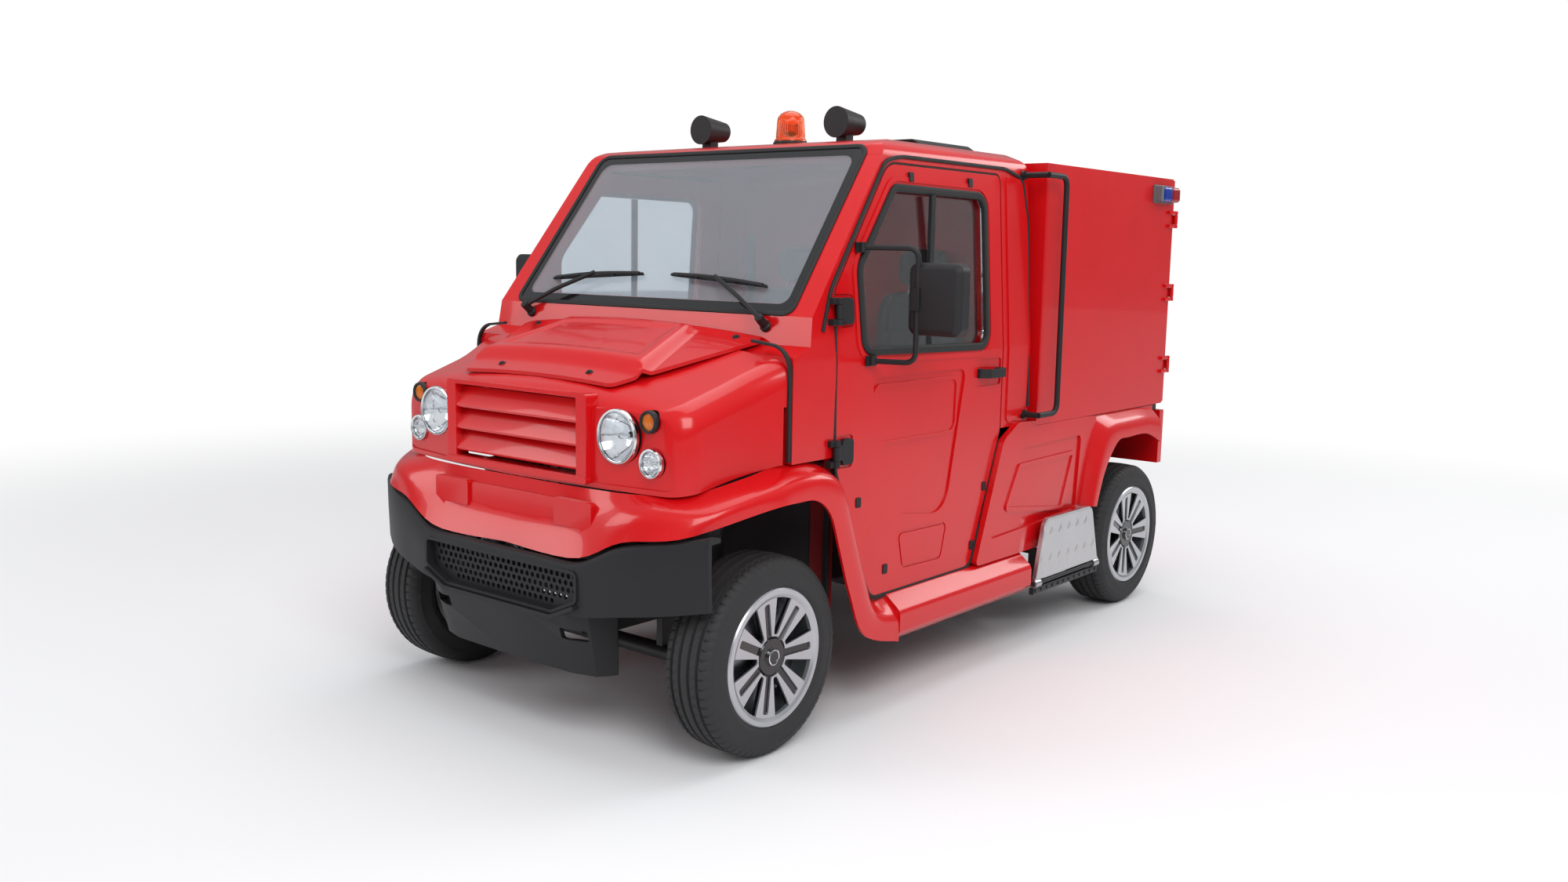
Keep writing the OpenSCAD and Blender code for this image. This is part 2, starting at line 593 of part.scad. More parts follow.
valance_lip = [[0, -352, 552], [300, -360, 552], [470, -345, 618], [640, -285, 645], [half_w - 6, -60, 700],
    [half_w, 50, 706], [half_w, 140, 700], [half_w, 205, 650], [half_w, 250, 540], [half_w, 300, 410],
    [half_w, 380, 265], [half_w - 4, valance_end_s, 206]];

function bend(a, b, c, t) = pow(1 - t, 3) * a + 3 * (1 - t) * t * b + pow(t, 3) * c;
function valance_ring(t) =
    let (r = spline(valance_root, t), b = spline(valance_crest, t), c = spline(valance_lip, t), n = 7)
    let (r1 = spline(valance_root, min(11, t + 0.05)), b1 = spline(valance_crest, min(11, t + 0.05)), b0 = spline(valance_crest, max(0, t - 0.05)))
    let (d = unit([b1[0] - b0[0], b1[1] - b0[1]]), inw = [-d[1], d[0], 0] * 8)
    let (outer = [for (i = [0:n]) bend(r, b, c, i / n)])
    let (inner = [for (i = [n:-1:0]) bend(r + [0, 0, -8], b + inw + [0, 0, -8], c + inw, i / n)])
    [for (p = concat(outer, inner)) [p[0], at(p[1]), p[2]]];

module front_valance() {
    steps = 33;
    color(red) both_sides() loft([for (i = [0:steps]) valance_ring(i * 11 / steps)]);
}

module front_bumper() {
    face = -front_overhang;
    color(dark) difference() {
        intersection() {
            plan_slab(200, 700) outline([[-700, -262, 0], [-575, -345, 50], [-330, face, 60], [330, face, 60],
                [575, -345, 50], [700, -262, 0], [690, -258, 0], [650, -276, 0], [520, -296, 0], [300, face + 60, 0],
                [-300, face + 60, 0], [-520, -296, 0], [-650, -276, 0], [-690, -258, 0]]);
            front_slab(face - 10, 0) outline(mirror_half([[0, 545, 0], [335, 545, 20], [460, 607, 20], [600, 632, 20], [700, 655, 10],
                [690, 440, 10], [500, 440, 40], [370, 210, 10], [0, 215, 0]]));
        }
        front_slab(face - 10, face + 40) outline(mirror_half([[0, 515, 0], [325, 515, 12], [325, 440, 12], [230, 398, 12], [0, 398, 0]]));
        both_sides() front_slab(face - 10, face + 30) outline([[244, 318, 6], [348, 318, 6], [348, 350, 6], [244, 350, 6]]);
    }
    color(dark) front_slab(face + 44, face + 52) outline(mirror_half([[0, 525, 0], [335, 525, 12], [335, 432, 12], [235, 388, 12], [0, 388, 0]]));
    color(dark) both_sides() box_at(rail_x - 20, rail_x + 20, face + 50, rail_front_s - 0.5, rail_z0 + 10, rail_z1 - 10);
}

// ---------- lower sides ----------

arch_front_s = wheelbase - tyre_r - 60;
module side_skirts() {
    x1 = half_w;
    color(red) both_sides() {
        // sill
        front_slab(valance_end_s, step_s0 - 25) outline([[cab_x - 50, 215, 5], [x1 - 30, 206, 8], [x1, 232, 20], [x1, 300, 30], [cab_x + 8, 335, 6], [cab_x - 50, 335, 5]]);
        // lower quarter panel
        difference() {
            side_slab(cab_x, cab_x + 34) outline([[door_rear_s - 165 + door_gap, door_sill_h, 10], [door_rear_s + 22, belt_h - 282, 60],
                [door_rear_s + 60, box_floor_h - 4, 40], [wheelbase + 165, box_floor_h - 4, 30], [wheelbase + 165, box_floor_h - 150, 10],
                [wheelbase - 60, box_floor_h - 95, 60], [wheelbase - 270, box_floor_h - 95, 70], [arch_front_s - 30, door_sill_h, 10]]);
            side_slab(cab_x + 24, cab_x + 60) outline([[door_rear_s - 60, door_sill_h + 70, 25], [door_rear_s + 75, belt_h - 330, 50],
                [wheelbase - 420, belt_h - 330, 30], [wheelbase - 500, door_sill_h + 70, 20]]);
        }
        // flare over the rear wheel
        side_slab(cab_x + 34, x1) outline([[arch_front_s - 90, step_z + 245, 5], [arch_front_s - 25, step_z + 245, 5], [wheelbase - 262, box_floor_h - 110, 60],
            [wheelbase - 60, box_floor_h - 98, 60], [wheelbase + 165, box_floor_h - 150, 10], [wheelbase + 165, box_floor_h - 66, 25],
            [wheelbase - 300, box_floor_h - 40, 80]]);
    }
}

// ---------- roof and front fittings ----------

// Trims its children to sit on the cab's skin.
module on_cab() {
    difference() {
        children();
        cab_form(-run_gap);
    }
}

module wipers() {
    color(dark) both_sides() translate([0, at(screen_foot_s), screen_foot_h]) rotate([screen_slope, 0, 0]) {
        translate([508, -28, 9]) cylinder(h = 15, r = 16);
        translate([508, -28, 14]) rotate(148) translate([0, -6, 0]) cube([300, 12, 6]);
        translate([250, 130, 4]) rotate(176) translate([-190, -6, 0]) cube([390, 12, 14]);
    }
}

beacon_s = 905;
module beacon() {
    color(dark) on_cab() translate([0, at(beacon_s), roof_h - 20]) cylinder(h = 40, r = 62);
    color("orange") translate([0, at(beacon_s), roof_h + 20]) cylinder(h = 105, r1 = 52, r2 = 42);
}

module horn_speakers() {
    color(dark) both_sides() {
        translate([296, at(770), roof_h + 62]) rotate([-90, 0, 0]) cylinder(h = 120, r1 = 50, r2 = 34);
        on_cab() box_at(276, 316, 800, 840, roof_h - 30, roof_h + 40);
    }
}

module roof_hatch() {
    color(dark) on_cab() box_at(120, 470, 1010, 1330, roof_h - 30, roof_h + 22);
}

// ---------- cabin ----------

wheel_x = 310;
column_tilt = 32;
column_s = 590;
column_z = belt_h - 30;
module dashboard() {
    color([0.25, 0.25, 0.27]) side_slab(-cab_x + door_t + 8, cab_x - door_t - 8) outline([[door_front_s + 60, nose_foot_h - 30, 10],
        [door_front_s + 180, nose_foot_h - 10, 30], [door_front_s + 210, belt_h - 60, 40], [door_front_s + 60, belt_h + 10, 20]]);
    color(dark) translate([wheel_x, at(column_s), column_z]) rotate([column_tilt, 0, 0]) rotate([90, 0, 0]) cylinder(h = 200, r = 11);
}

module steering_wheel() {
    color(dark) translate([wheel_x, at(column_s), column_z]) rotate([column_tilt, 0, 0]) rotate([90, 0, 0]) {
        rotate_extrude() translate([178, 0]) circle(r = 14);
        difference() {
            translate([0, 0, -8]) cylinder(h = 40, r = 38);
            translate([0, 0, -20]) cylinder(h = 80, r = 11 + run_gap);
        }
        for (a = [0, 90, 180]) rotate(a) translate([34, -12, -4]) cube([135, 24, 8]);
    }
}

module seats() {
    color([0.35, 0.36, 0.38]) both_sides() union() {
        box_at(90, 470, 850, 1330, floor_h + 245, floor_h + 370);
        side_slab(90, 470) outline([[1230, floor_h + 360, 20], [1350, floor_h + 360, 20], [1392 - 30, belt_h + 190, 30], [1262, belt_h + 190, 30]]);
        side_slab(180, 380) outline([[1285, belt_h + 185, 5], [1350, belt_h + 185, 5], [1355, belt_h + 330, 25], [1285, belt_h + 330, 25]]);
    }
}

// ---------- rear ----------

box_x = box_w / 2;
box_front_s = cab_back_s + box_gap;
box_door_t = 28;
box_rear_s = wheelbase + rear_overhang - box_door_t - 5;
module equipment_box() {
    color(red) difference() {
        box_at(-box_x, box_x, box_front_s, box_rear_s, box_floor_h, box_top_h);
        box_at(-box_x + box_wall, box_x - box_wall, box_front_s + box_wall, box_rear_s + 10, box_floor_h + box_wall, box_top_h - box_wall);
    }
    color(dark) both_sides() for (z = box_hinge_heights) box_hinge_pin(z);
}
box_hinge_heights = [box_floor_h + 160, (box_floor_h + box_top_h) / 2, box_top_h - 160];
box_hinge_x = box_x + 6;
module box_hinge_pin(z) {
    y = wheelbase + rear_overhang - 8;
    translate([box_hinge_x, at(y), z - 34]) cylinder(h = 68, r = hinge_pin_r);
    for (k = [-1, 1]) {
        translate([box_hinge_x, at(y), z + k * 27 - 7]) cylinder(h = 14, r = 8);
        box_at(box_x, box_hinge_x + 4, box_rear_s - 40, y, z + k * 27 - 7, z + k * 27 + 7);
    }
}
module box_door(side) {
    y0 = wheelbase + rear_overhang - box_door_t;
    mirror([side < 0 ? 1 : 0, 0, 0]) {
        color(red) box_at(4, box_x - 6, y0, y0 + box_door_t - 6, box_floor_h + 4, box_top_h - 4);
        color(dark) for (z = box_hinge_heights) difference() {
            union() {
                translate([box_hinge_x, at(y0 + box_door_t - 8), z - 19]) cylinder(h = 38, r = 8);
                box_at(box_x - 70, box_hinge_x, y0 + box_door_t - 8, y0 + box_door_t - 1, z - 19, z + 19);
            }
            translate([box_hinge_x, at(y0 + box_door_t - 8), z - 40]) cylinder(h = 80, r = hinge_pin_r + run_gap);
        }
        color(dark) box_at(30, 50, y0 + box_door_t - 8, y0 + box_door_t, box_floor_h + 300, box_floor_h + 480);
    }
}

module bed_frame() {
    color(dark) {
        box_at(-cab_x, cab_x, box_front_s + 4, box_rear_s - 4, box_floor_h - 30, box_floor_h);
        both_sides() for (s = [box_front_s + 20, wheelbase - 330, wheelbase + 60, box_rear_s - 90])
            box_at(rail_x - 25, rail_x + 25, s, s + 50, rail_z1, box_floor_h - 30);
    }
}

rail_out = 48;
module grab_rails() {
    x = box_x + rail_out - 10;
    s = box_front_s + 62;
    color(dark) both_sides() {
        translate([x, at(s), box_floor_h + 20]) cylinder(h = box_top_h - box_floor_h - 70, r = 10);
        for (z = [box_floor_h + 24, box_top_h - 54]) tube_x(box_x, x + 10, s, z, 10);
    }
}

module strobe_lights() {
    color("blue") both_sides() box_at(box_x, box_x + 42, wheelbase + rear_overhang - 230, wheelbase + rear_overhang - 50, box_top_h - 100, box_top_h - 30);
}

module rear_panel() {
    y1 = wheelbase + rear_overhang;
    color(red) difference() {
        box_at(-half_w + 40, half_w - 40, y1 - 45, y1 - 8, box_floor_h - 250, box_floor_h - 30);
        box_at(-270, 270, y1 - 20, y1, box_floor_h - 190, box_floor_h - 70);
        both_sides() box_at(half_w - 172, half_w - 88, y1 - 30, y1, box_floor_h - 192, box_floor_h - 48);
    }
    color(dark) both_sides() box_at(rail_x - 20, rail_x + 20, box_rear_s - 40, y1 - 45, box_floor_h - 250, box_floor_h - 200);
}

// Folding side step; stands up at rest and swings out and down about its lower edge.
module side_step(side) {
    color(silver) mirror([side < 0 ? 1 : 0, 0, 0]) {
        side_slab(step_x - 7, step_x + 7) outline([[step_s0 + 6, step_z + 14, 5], [step_s1 - 6, step_z + 14, 5],
            [step_s1 - 70, step_z + 228, 40], [step_s0 + 60, step_z + 228, 40]]);
        for (s = [step_s0 + 2, step_s1 - 42]) difference() {
            union() {
                tube_y(step_x, s, s + 40, step_z, 15);
                box_at(step_x - 7, step_x + 7, s, s + 40, step_z, step_z + 20);
            }
            tube_y(step_x, s - 1, s + 41, step_z, step_pin_r + run_gap);
        }
    }
}

chassis_rails();
cross_members();
chassis_brackets();
front_axle();
rear_axle();
battery_pack();
cab_floor();
cab_shell();
roof_panel();
windscreen();
nose_panel();
bonnet();
front_valance();
front_bumper();
side_skirts();
headlamps();
signal_lamps();
wipers();
beacon();
horn_speakers();
roof_hatch();
dashboard();
seats();
equipment_box();
bed_frame();
grab_rails();
strobe_lights();
rear_panel();
door(1);  // door_left
door(-1);  // door_right
door_glass(1);  // door_glass_left
door_glass(-1);  // door_glass_right
mirror_arm(1);  // mirror_left
mirror_arm(-1);  // mirror_right
box_door(1);  // box_door_left
box_door(-1);  // box_door_right
steering_wheel();
knuckle(1);  // knuckle_left
knuckle(-1);  // knuckle_right
tyre(track_x, front_y);  // front_left_tyre
tyre(-track_x, front_y);  // front_right_tyre
tyre(track_x, rear_y);  // rear_left_tyre
tyre(-track_x, rear_y);  // rear_right_tyre
wheel(track_x, front_y, 1);  // front_left_wheel
wheel(-track_x, front_y, -1);  // front_right_wheel
wheel(track_x, rear_y, 1);  // rear_left_wheel
wheel(-track_x, rear_y, -1);  // rear_right_wheel
side_step(1);  // side_step_left
side_step(-1);  // side_step_right
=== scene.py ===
import json
import math

import bmesh
import bpy
import numpy as np
from mathutils import Matrix, Vector

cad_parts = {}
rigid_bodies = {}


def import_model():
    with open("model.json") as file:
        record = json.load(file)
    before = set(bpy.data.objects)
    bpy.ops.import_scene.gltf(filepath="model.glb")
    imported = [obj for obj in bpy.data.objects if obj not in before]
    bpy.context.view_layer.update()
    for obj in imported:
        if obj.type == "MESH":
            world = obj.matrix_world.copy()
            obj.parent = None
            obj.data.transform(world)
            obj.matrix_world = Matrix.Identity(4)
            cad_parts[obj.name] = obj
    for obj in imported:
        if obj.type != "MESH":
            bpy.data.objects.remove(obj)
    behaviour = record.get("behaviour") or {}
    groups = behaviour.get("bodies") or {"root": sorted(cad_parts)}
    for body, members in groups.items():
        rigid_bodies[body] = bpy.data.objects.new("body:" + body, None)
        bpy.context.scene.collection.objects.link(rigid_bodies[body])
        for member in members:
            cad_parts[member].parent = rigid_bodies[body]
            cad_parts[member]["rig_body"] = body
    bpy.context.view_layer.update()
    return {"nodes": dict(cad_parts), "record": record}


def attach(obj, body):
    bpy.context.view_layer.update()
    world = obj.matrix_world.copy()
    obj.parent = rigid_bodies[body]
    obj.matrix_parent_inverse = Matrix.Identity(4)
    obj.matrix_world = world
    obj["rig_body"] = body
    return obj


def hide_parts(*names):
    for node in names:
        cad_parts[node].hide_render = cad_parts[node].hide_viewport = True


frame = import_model()
nodes = frame["nodes"]
scene = bpy.context.scene
print("frame loaded:", len(nodes), "nodes")

# camera: place and lens in metres and millimetres, angles in degrees
cameraView = {"place": (2.935, -3.7775, 1.375), "lens": 30.37, "azimuth": 39.18, "down": 8.077, "roll": 1.023}


def addCamera(view):
    azimuth, down, roll = (math.radians(view[k]) for k in ("azimuth", "down", "roll"))
    back = Vector((math.sin(azimuth) * math.cos(down), -math.cos(azimuth) * math.cos(down), math.sin(down)))
    right = (-back).cross(Vector((0, 0, 1))).normalized()
    up = right.cross(-back)
    rolledRight = right * math.cos(roll) + up * math.sin(roll)
    rolledUp = up * math.cos(roll) - right * math.sin(roll)
    camera = bpy.data.objects.new("camera", bpy.data.cameras.new("camera"))
    camera.data.lens = view["lens"]
    camera.matrix_world = Matrix.Translation(view["place"]) @ Matrix((rolledRight, rolledUp,
        back)).transposed().to_4x4()
    scene.collection.objects.link(camera)
    scene.camera = camera


addCamera(cameraView)
scene.view_settings.view_transform = "Standard"

# finishes
def srgb(r, g, b):  # screen colour 0-255 to the linear numbers that shaders use
    c = np.array([r, g, b]) / 255
    return (*np.where(c <= 0.04045, c / 12.92, ((c + 0.055) / 1.055) ** 2.4), 1.0)


def addNode(tree, kind, **values):
    node = tree.nodes.new(kind)
    for key, value in values.items():
        if key in node.inputs:
            node.inputs[key].default_value = value
        else:
            setattr(node, key, value)
    return node


# A finish whose colour drifts between two shades, whose roughness drifts between two values, and whose
# surface carries a fine grain where relief is given: two noises on Object coordinates, the slow one for
# colour and roughness.
def makeFinish(shades, rough, metal=0.0, coat=0.0, drift=6.0, grain=900.0, relief=0.0, **shader):
    material = bpy.data.materials.new("finish")
    material.use_nodes = True
    tree = material.node_tree
    surface = tree.nodes["Principled BSDF"]
    surface.inputs["Metallic"].default_value = metal
    surface.inputs["Coat Weight"].default_value = coat
    for key, value in shader.items():
        surface.inputs[key].default_value = value
    place = addNode(tree, "ShaderNodeTexCoord")
    slow = addNode(tree, "ShaderNodeTexNoise", Scale=drift, Detail=4.0)
    tree.links.new(place.outputs["Object"], slow.inputs["Vector"])
    tint = addNode(tree, "ShaderNodeMix", data_type="RGBA")
    tint.inputs[6].default_value, tint.inputs[7].default_value = (srgb(*shade) for shade in shades)
    tree.links.new(slow.outputs["Fac"], tint.inputs[0])
    tree.links.new(tint.outputs[2], surface.inputs["Base Color"])
    fine = addNode(tree, "ShaderNodeTexNoise", Scale=grain, Detail=2.0)
    tree.links.new(place.outputs["Object"], fine.inputs["Vector"])
    spread = addNode(tree, "ShaderNodeMapRange")
    spread.inputs["To Min"].default_value, spread.inputs["To Max"].default_value = rough
    tree.links.new(slow.outputs["Fac"], spread.inputs["Value"])
    tree.links.new(spread.outputs["Result"], surface.inputs["Roughness"])
    if relief:
        bump = addNode(tree, "ShaderNodeBump", Strength=1.0, Distance=relief)
        tree.links.new(fine.outputs["Fac"], bump.inputs["Height"])
        tree.links.new(bump.outputs["Normal"], surface.inputs["Normal"])
    return material


finishes = {
    "redPaint": makeFinish(((203, 12, 18), (212, 16, 22)), (0.2, 0.27), coat=0.35, grain=260,
                           relief=0.00004, **{"Specular IOR Level": 0.3}),
    "darkRed": makeFinish(((120, 10, 16), (132, 14, 20)), (0.35, 0.45), grain=260, relief=0.00004),
    "blackPlastic": makeFinish(((30, 30, 32), (38, 38, 40)), (0.45, 0.58), relief=0.00006,
                               **{"Specular IOR Level": 0.3}),
    "glossBlack": makeFinish(((14, 14, 16), (20, 20, 22)), (0.12, 0.2), coat=0.3),
    "greyPlastic": makeFinish(((92, 93, 96), (104, 105, 108)), (0.45, 0.6), relief=0.00006),
    "blackRubber": makeFinish(((24, 24, 25), (32, 32, 33)), (0.6, 0.75), relief=0.00008),
    "tyreRubber": makeFinish(((34, 34, 36), (44, 44, 45)), (0.6, 0.78), drift=14, grain=1400,
                             relief=0.00015),
    "frameBlack": makeFinish(((26, 27, 29), (34, 35, 37)), (0.4, 0.55), relief=0.00005),
    "bareSteel": makeFinish(((132, 134, 138), (158, 160, 163)), (0.32, 0.5), metal=1.0, drift=20,
                            relief=0.00004),
    "silverPaint": makeFinish(((176, 178, 182), (190, 192, 196)), (0.26, 0.34), metal=0.75, coat=0.4),
    "aluminium": makeFinish(((172, 174, 178), (196, 198, 200)), (0.25, 0.42), metal=1.0, drift=18),
    "chrome": makeFinish(((214, 216, 220), (228, 230, 232)), (0.05, 0.1), metal=1.0),
    "seatFabric": makeFinish(((74, 76, 80), (92, 94, 98)), (0.75, 0.9), drift=30, grain=700,
                             relief=0.0004),
    "beltWeb": makeFinish(((28, 28, 30), (38, 38, 40)), (0.7, 0.85), drift=60, grain=1200, relief=0.0003),
    "mirrorSilver": makeFinish(((224, 227, 230), (232, 234, 236)), (0.01, 0.03), metal=1.0),
    "platePaint": makeFinish(((206, 208, 210), (216, 218, 219)), (0.3, 0.4), drift=12),
    "darkFloor": makeFinish(((46, 46, 48), (58, 58, 60)), (0.7, 0.85), relief=0.0002),
    "clearLens": makeFinish(((240, 243, 246), (250, 251, 252)), (0.02, 0.05), grain=60,
                            **{"Transmission Weight": 1.0, "IOR": 1.45}),
    "glassPane": makeFinish(((222, 230, 232), (230, 236, 238)), (0.01, 0.03),
                            **{"Transmission Weight": 1.0, "IOR": 1.45}),
    "amberLens": makeFinish(((255, 140, 20), (255, 156, 40)), (0.05, 0.1), coat=0.5,
                            **{"Transmission Weight": 0.6, "IOR": 1.4}),
    "beaconLens": makeFinish(((255, 120, 30), (255, 134, 44)), (0.04, 0.08), coat=0.3,
                             **{"Transmission Weight": 0.85, "IOR": 1.4}),
    "diamondPlate": makeFinish(((188, 188, 190), (208, 208, 209)), (0.3, 0.45), metal=0.85,
                               drift=9, relief=0.00003),
    # windscreen: real glass, but its transmission below one and its pale base colour leave a pale diffuse
    # veil. That veil is a painted reflection of bright light on the sloped screen.
    "screenGlass": makeFinish(((208, 216, 224), (216, 222, 230)), (0.01, 0.04),
                              **{"Transmission Weight": 0.82, "IOR": 1.45}),
    "redLens": makeFinish(((190, 10, 16), (206, 18, 24)), (0.06, 0.12), coat=0.5,
                          **{"Transmission Weight": 0.5, "IOR": 1.4}),
    "blueLens": makeFinish(((16, 60, 190), (24, 76, 210)), (0.06, 0.12), coat=0.5,
                           **{"Transmission Weight": 0.5, "IOR": 1.4}),
    "batteryCase": makeFinish(((50, 54, 60), (60, 64, 70)), (0.5, 0.65), relief=0.00006),
}

slotFinishes = {"red_paint": "redPaint", "frame_black": "frameBlack", "steel_bare": "bareSteel",
                "battery_case": "batteryCase", "floor_mat": "darkFloor", "glass": "glassPane",
                "black_plastic": "blackPlastic", "grey_plastic": "greyPlastic", "lamp_clear": "clearLens",
                "lamp_amber": "amberLens", "lamp_blue": "blueLens", "seat_fabric": "seatFabric",
                "tyre": "tyreRubber", "wheel_silver": "silverPaint", "step_aluminium": "aluminium"}
for name, material in finishes.items():
    material.name = name
bodyOf = {n: o["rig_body"] for n, o in nodes.items()}
nodeSlot = {part["node"]: part["material_slot"] for part in frame["record"]["subparts"]}


def wear(piece, finish):
    piece.data.materials.clear()
    piece.data.materials.append(finishes[finish])


for name, node in nodes.items():
    wear(node, slotFinishes[nodeSlot[name]])
# the windscreen's pale diffuse share is a painted reflection
wear(nodes["windscreen"], "screenGlass")
print("finishes made:", len(finishes))


# shared tools
def addPiece(name, mesh, body, finish, sharp=35):
    piece = bpy.data.objects.new(name, mesh)
    scene.collection.objects.link(piece)
    mesh.shade_smooth()
    mesh.set_sharp_from_angle(angle=math.radians(sharp))
    if not mesh.materials:
        wear(piece, finish)
    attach(piece, body)
    return piece


def roundEdges(piece, width, steps=2, sharp=28):
    bevel = piece.modifiers.new("edges", "BEVEL")
    bevel.width = width
    bevel.segments = steps
    bevel.limit_method = "ANGLE"
    bevel.angle_limit = math.radians(sharp)
    bevel.harden_normals = True


# Faces of a grid of points: each point joined to its neighbours, and round the ends where closed.
def weave(grid, closeRows=False, closeColumns=False):
    index = np.arange(grid.shape[0] * grid.shape[1]).reshape(grid.shape[:2])
    if closeRows:
        index = np.vstack([index, index[:1]])
    if closeColumns:
        index = np.hstack([index, index[:, :1]])
    quads = np.stack([index[:-1, :-1], index[1:, :-1], index[1:, 1:], index[:-1, 1:]], axis=-1).reshape(-1, 4)
    return grid.reshape(-1, 3), quads.tolist()


def together(*forms):  # several (points, faces) pairs as one, each one's faces counted on from the last
    points, faces, start = [], [], 0
    for part, polygons in forms:
        points.append(np.asarray(part, float))
        faces += [[v + start for v in polygon] for polygon in polygons]
        start += len(part)
    return np.vstack(points), faces


# One object from several (points, faces) pairs, with doubles joined and every face turned outwards.
def build(name, parts, body, finish, sharp=35, merge=1e-5):
    points, faces = together(*parts)
    mesh = bpy.data.meshes.new(name)
    mesh.from_pydata(points.tolist(), [], faces)
    work = bmesh.new()
    work.from_mesh(mesh)
    bmesh.ops.remove_doubles(work, verts=work.verts, dist=merge)
    bmesh.ops.dissolve_degenerate(work, edges=work.edges, dist=merge)
    bmesh.ops.recalc_face_normals(work, faces=work.faces)
    work.to_mesh(mesh)
    work.free()
    return addPiece(name, mesh, body, finish, sharp)


# A profile of (radius, distance along the axis) turned about X, Y or Z through a centre.
def turned(profile, centre, axis="x", count=64):
    profile = np.asarray(profile, float)
    angle = np.linspace(0, 2 * np.pi, count, endpoint=False)[:, None]
    across, up, along = profile[:,
                                0] * np.cos(angle), profile[:, 0] * np.sin(angle), profile[:, 1] + 0 * angle
    order = {"x": (along, across, up), "y": (up, along, across), "z": (across, up, along)}[axis]
    return weave(np.stack(order, -1) + np.asarray(centre, float), closeRows=True, closeColumns=True)


# A profile of (radius, distance along the axis) turned about any axis through a place.
def turnedOn(profile, place, axis, count=32):
    profile, axis = np.asarray(profile, float), np.asarray(axis, float) / np.linalg.norm(axis)
    first = np.cross(axis, (0.0, 0.0, 1.0) if abs(axis[2]) < 0.9 else (1.0, 0.0, 0.0))
    first /= np.linalg.norm(first)
    angle = np.linspace(0, 2 * np.pi, count, endpoint=False)[:, None, None]
    ring = np.cos(angle) * first + np.sin(angle) * np.cross(axis, first)
    grid = np.asarray(place) + profile[None, :, :1] * ring + profile[None, :, 1:] * axis
    return weave(grid, closeRows=True, closeColumns=True)


# A closed profile of (side, out) carried along a path. Out is the direction given, made square to the path.
def swept(path, profile, out, closed=False):
    path, profile = np.asarray(path, float), np.asarray(profile, float)
    ahead = np.roll(path, -1, 0) - np.roll(path, 1, 0) if closed else np.gradient(path, axis=0)
    ahead /= np.linalg.norm(ahead, axis=1, keepdims=True)
    out = np.broadcast_to(np.asarray(out, float), path.shape)
    side = np.cross(ahead, out)
    side /= np.linalg.norm(side, axis=1, keepdims=True)
    out = np.cross(side, ahead)
    grid = path[:, None] + profile[None, :, :1] * side[:, None] + profile[None, :, 1:] * out[:, None]
    points, faces = weave(grid, closeRows=closed, closeColumns=True)
    if not closed:
        count, last = len(profile), len(points) - len(profile)
        faces += [list(range(count)), list(range(last, last + count))]
    return points, faces


# Corner points replaced by arcs of the given radii: centre on the bisector, arc between the two tangent
# points.
def rounded(corners, radii, steps=8):
    corner = np.asarray(corners, float)
    radius = np.broadcast_to(np.asarray(radii, float), len(corner))[:, None]
    back, on = np.roll(corner, 1, 0) - corner, np.roll(corner, -1, 0) - corner
    back /= np.linalg.norm(back, axis=1, keepdims=True)
    on /= np.linalg.norm(on, axis=1, keepdims=True)
    half = np.arccos(np.clip((back * on).sum(1, keepdims=True), -1, 1)) / 2
    middle = (back + on) / np.linalg.norm(back + on, axis=1, keepdims=True)
    centre = corner + middle * radius / np.sin(half)
    first = corner + back * radius / np.tan(half) - centre
    final = corner + on * radius / np.tan(half) - centre
    start = np.arctan2(first[:, 1], first[:, 0])
    sweep = (np.arctan2(final[:, 1], final[:, 0]) - start + np.pi) % (2 * np.pi) - np.pi
    angle = start[:, None] + sweep[:, None] * np.linspace(0, 1, steps)
    arc = centre[:, None] + radius[:, :, None] * np.stack([np.cos(angle), np.sin(angle)], -1)
    return arc.reshape(-1, 2)


# The closed solid between a loop of points and the same loop moved by a step.
def slab(loop, step):
    loop = np.asarray(loop, float)
    count = len(loop)
    points, faces = weave(np.stack([loop, loop + np.asarray(step, float)]), closeColumns=True)
    return points, faces + [list(range(count)), list(range(count, 2 * count))]


# Box with its corners at low and high, as six quads.
def block(low, high):
    pick = np.array([[x, y, z] for z in (0, 1) for y in (0, 1) for x in (0, 1)])
    points = np.where(pick, high, low)
    return points, [[0, 2, 3, 1], [4, 5, 7, 6], [0, 1, 5, 4], [2, 6, 7, 3], [0, 4, 6, 2], [1, 3, 7, 5]]


# Tube of radius along a path.
def tube(path, radius, out=(0, 0, 1), count=16, closed=False):
    angle = np.linspace(0, 2 * np.pi, count, endpoint=False)
    return swept(path, radius * np.stack([np.cos(angle), np.sin(angle)], -1), out, closed)


# Points of a path through corners in space, each corner bent on a quadratic curve of the given reach.
def bentPath(corners, reach, steps=8):
    corner = np.asarray(corners, float)
    t = np.linspace(0, 1, steps)[:, None]
    path = [corner[:1]]
    for before, here, after in zip(corner[:-2], corner[1:-1], corner[2:]):
        near = here + (before - here) / np.linalg.norm(before - here) * reach
        far = here + (after - here) / np.linalg.norm(after - here) * reach
        path.append((1 - t) ** 2 * near + 2 * t * (1 - t) * here + t ** 2 * far)
    return np.vstack(path + [corner[-1:]])


def settledMesh(piece):  # the mesh of a piece as its modifiers leave it
    return bpy.data.meshes.new_from_object(piece.evaluated_get(bpy.context.evaluated_depsgraph_get()))


def meshPoints(mesh):
    points = np.zeros(len(mesh.vertices) * 3)
    mesh.vertices.foreach_get("co", points)
    return points.reshape(-1, 3)


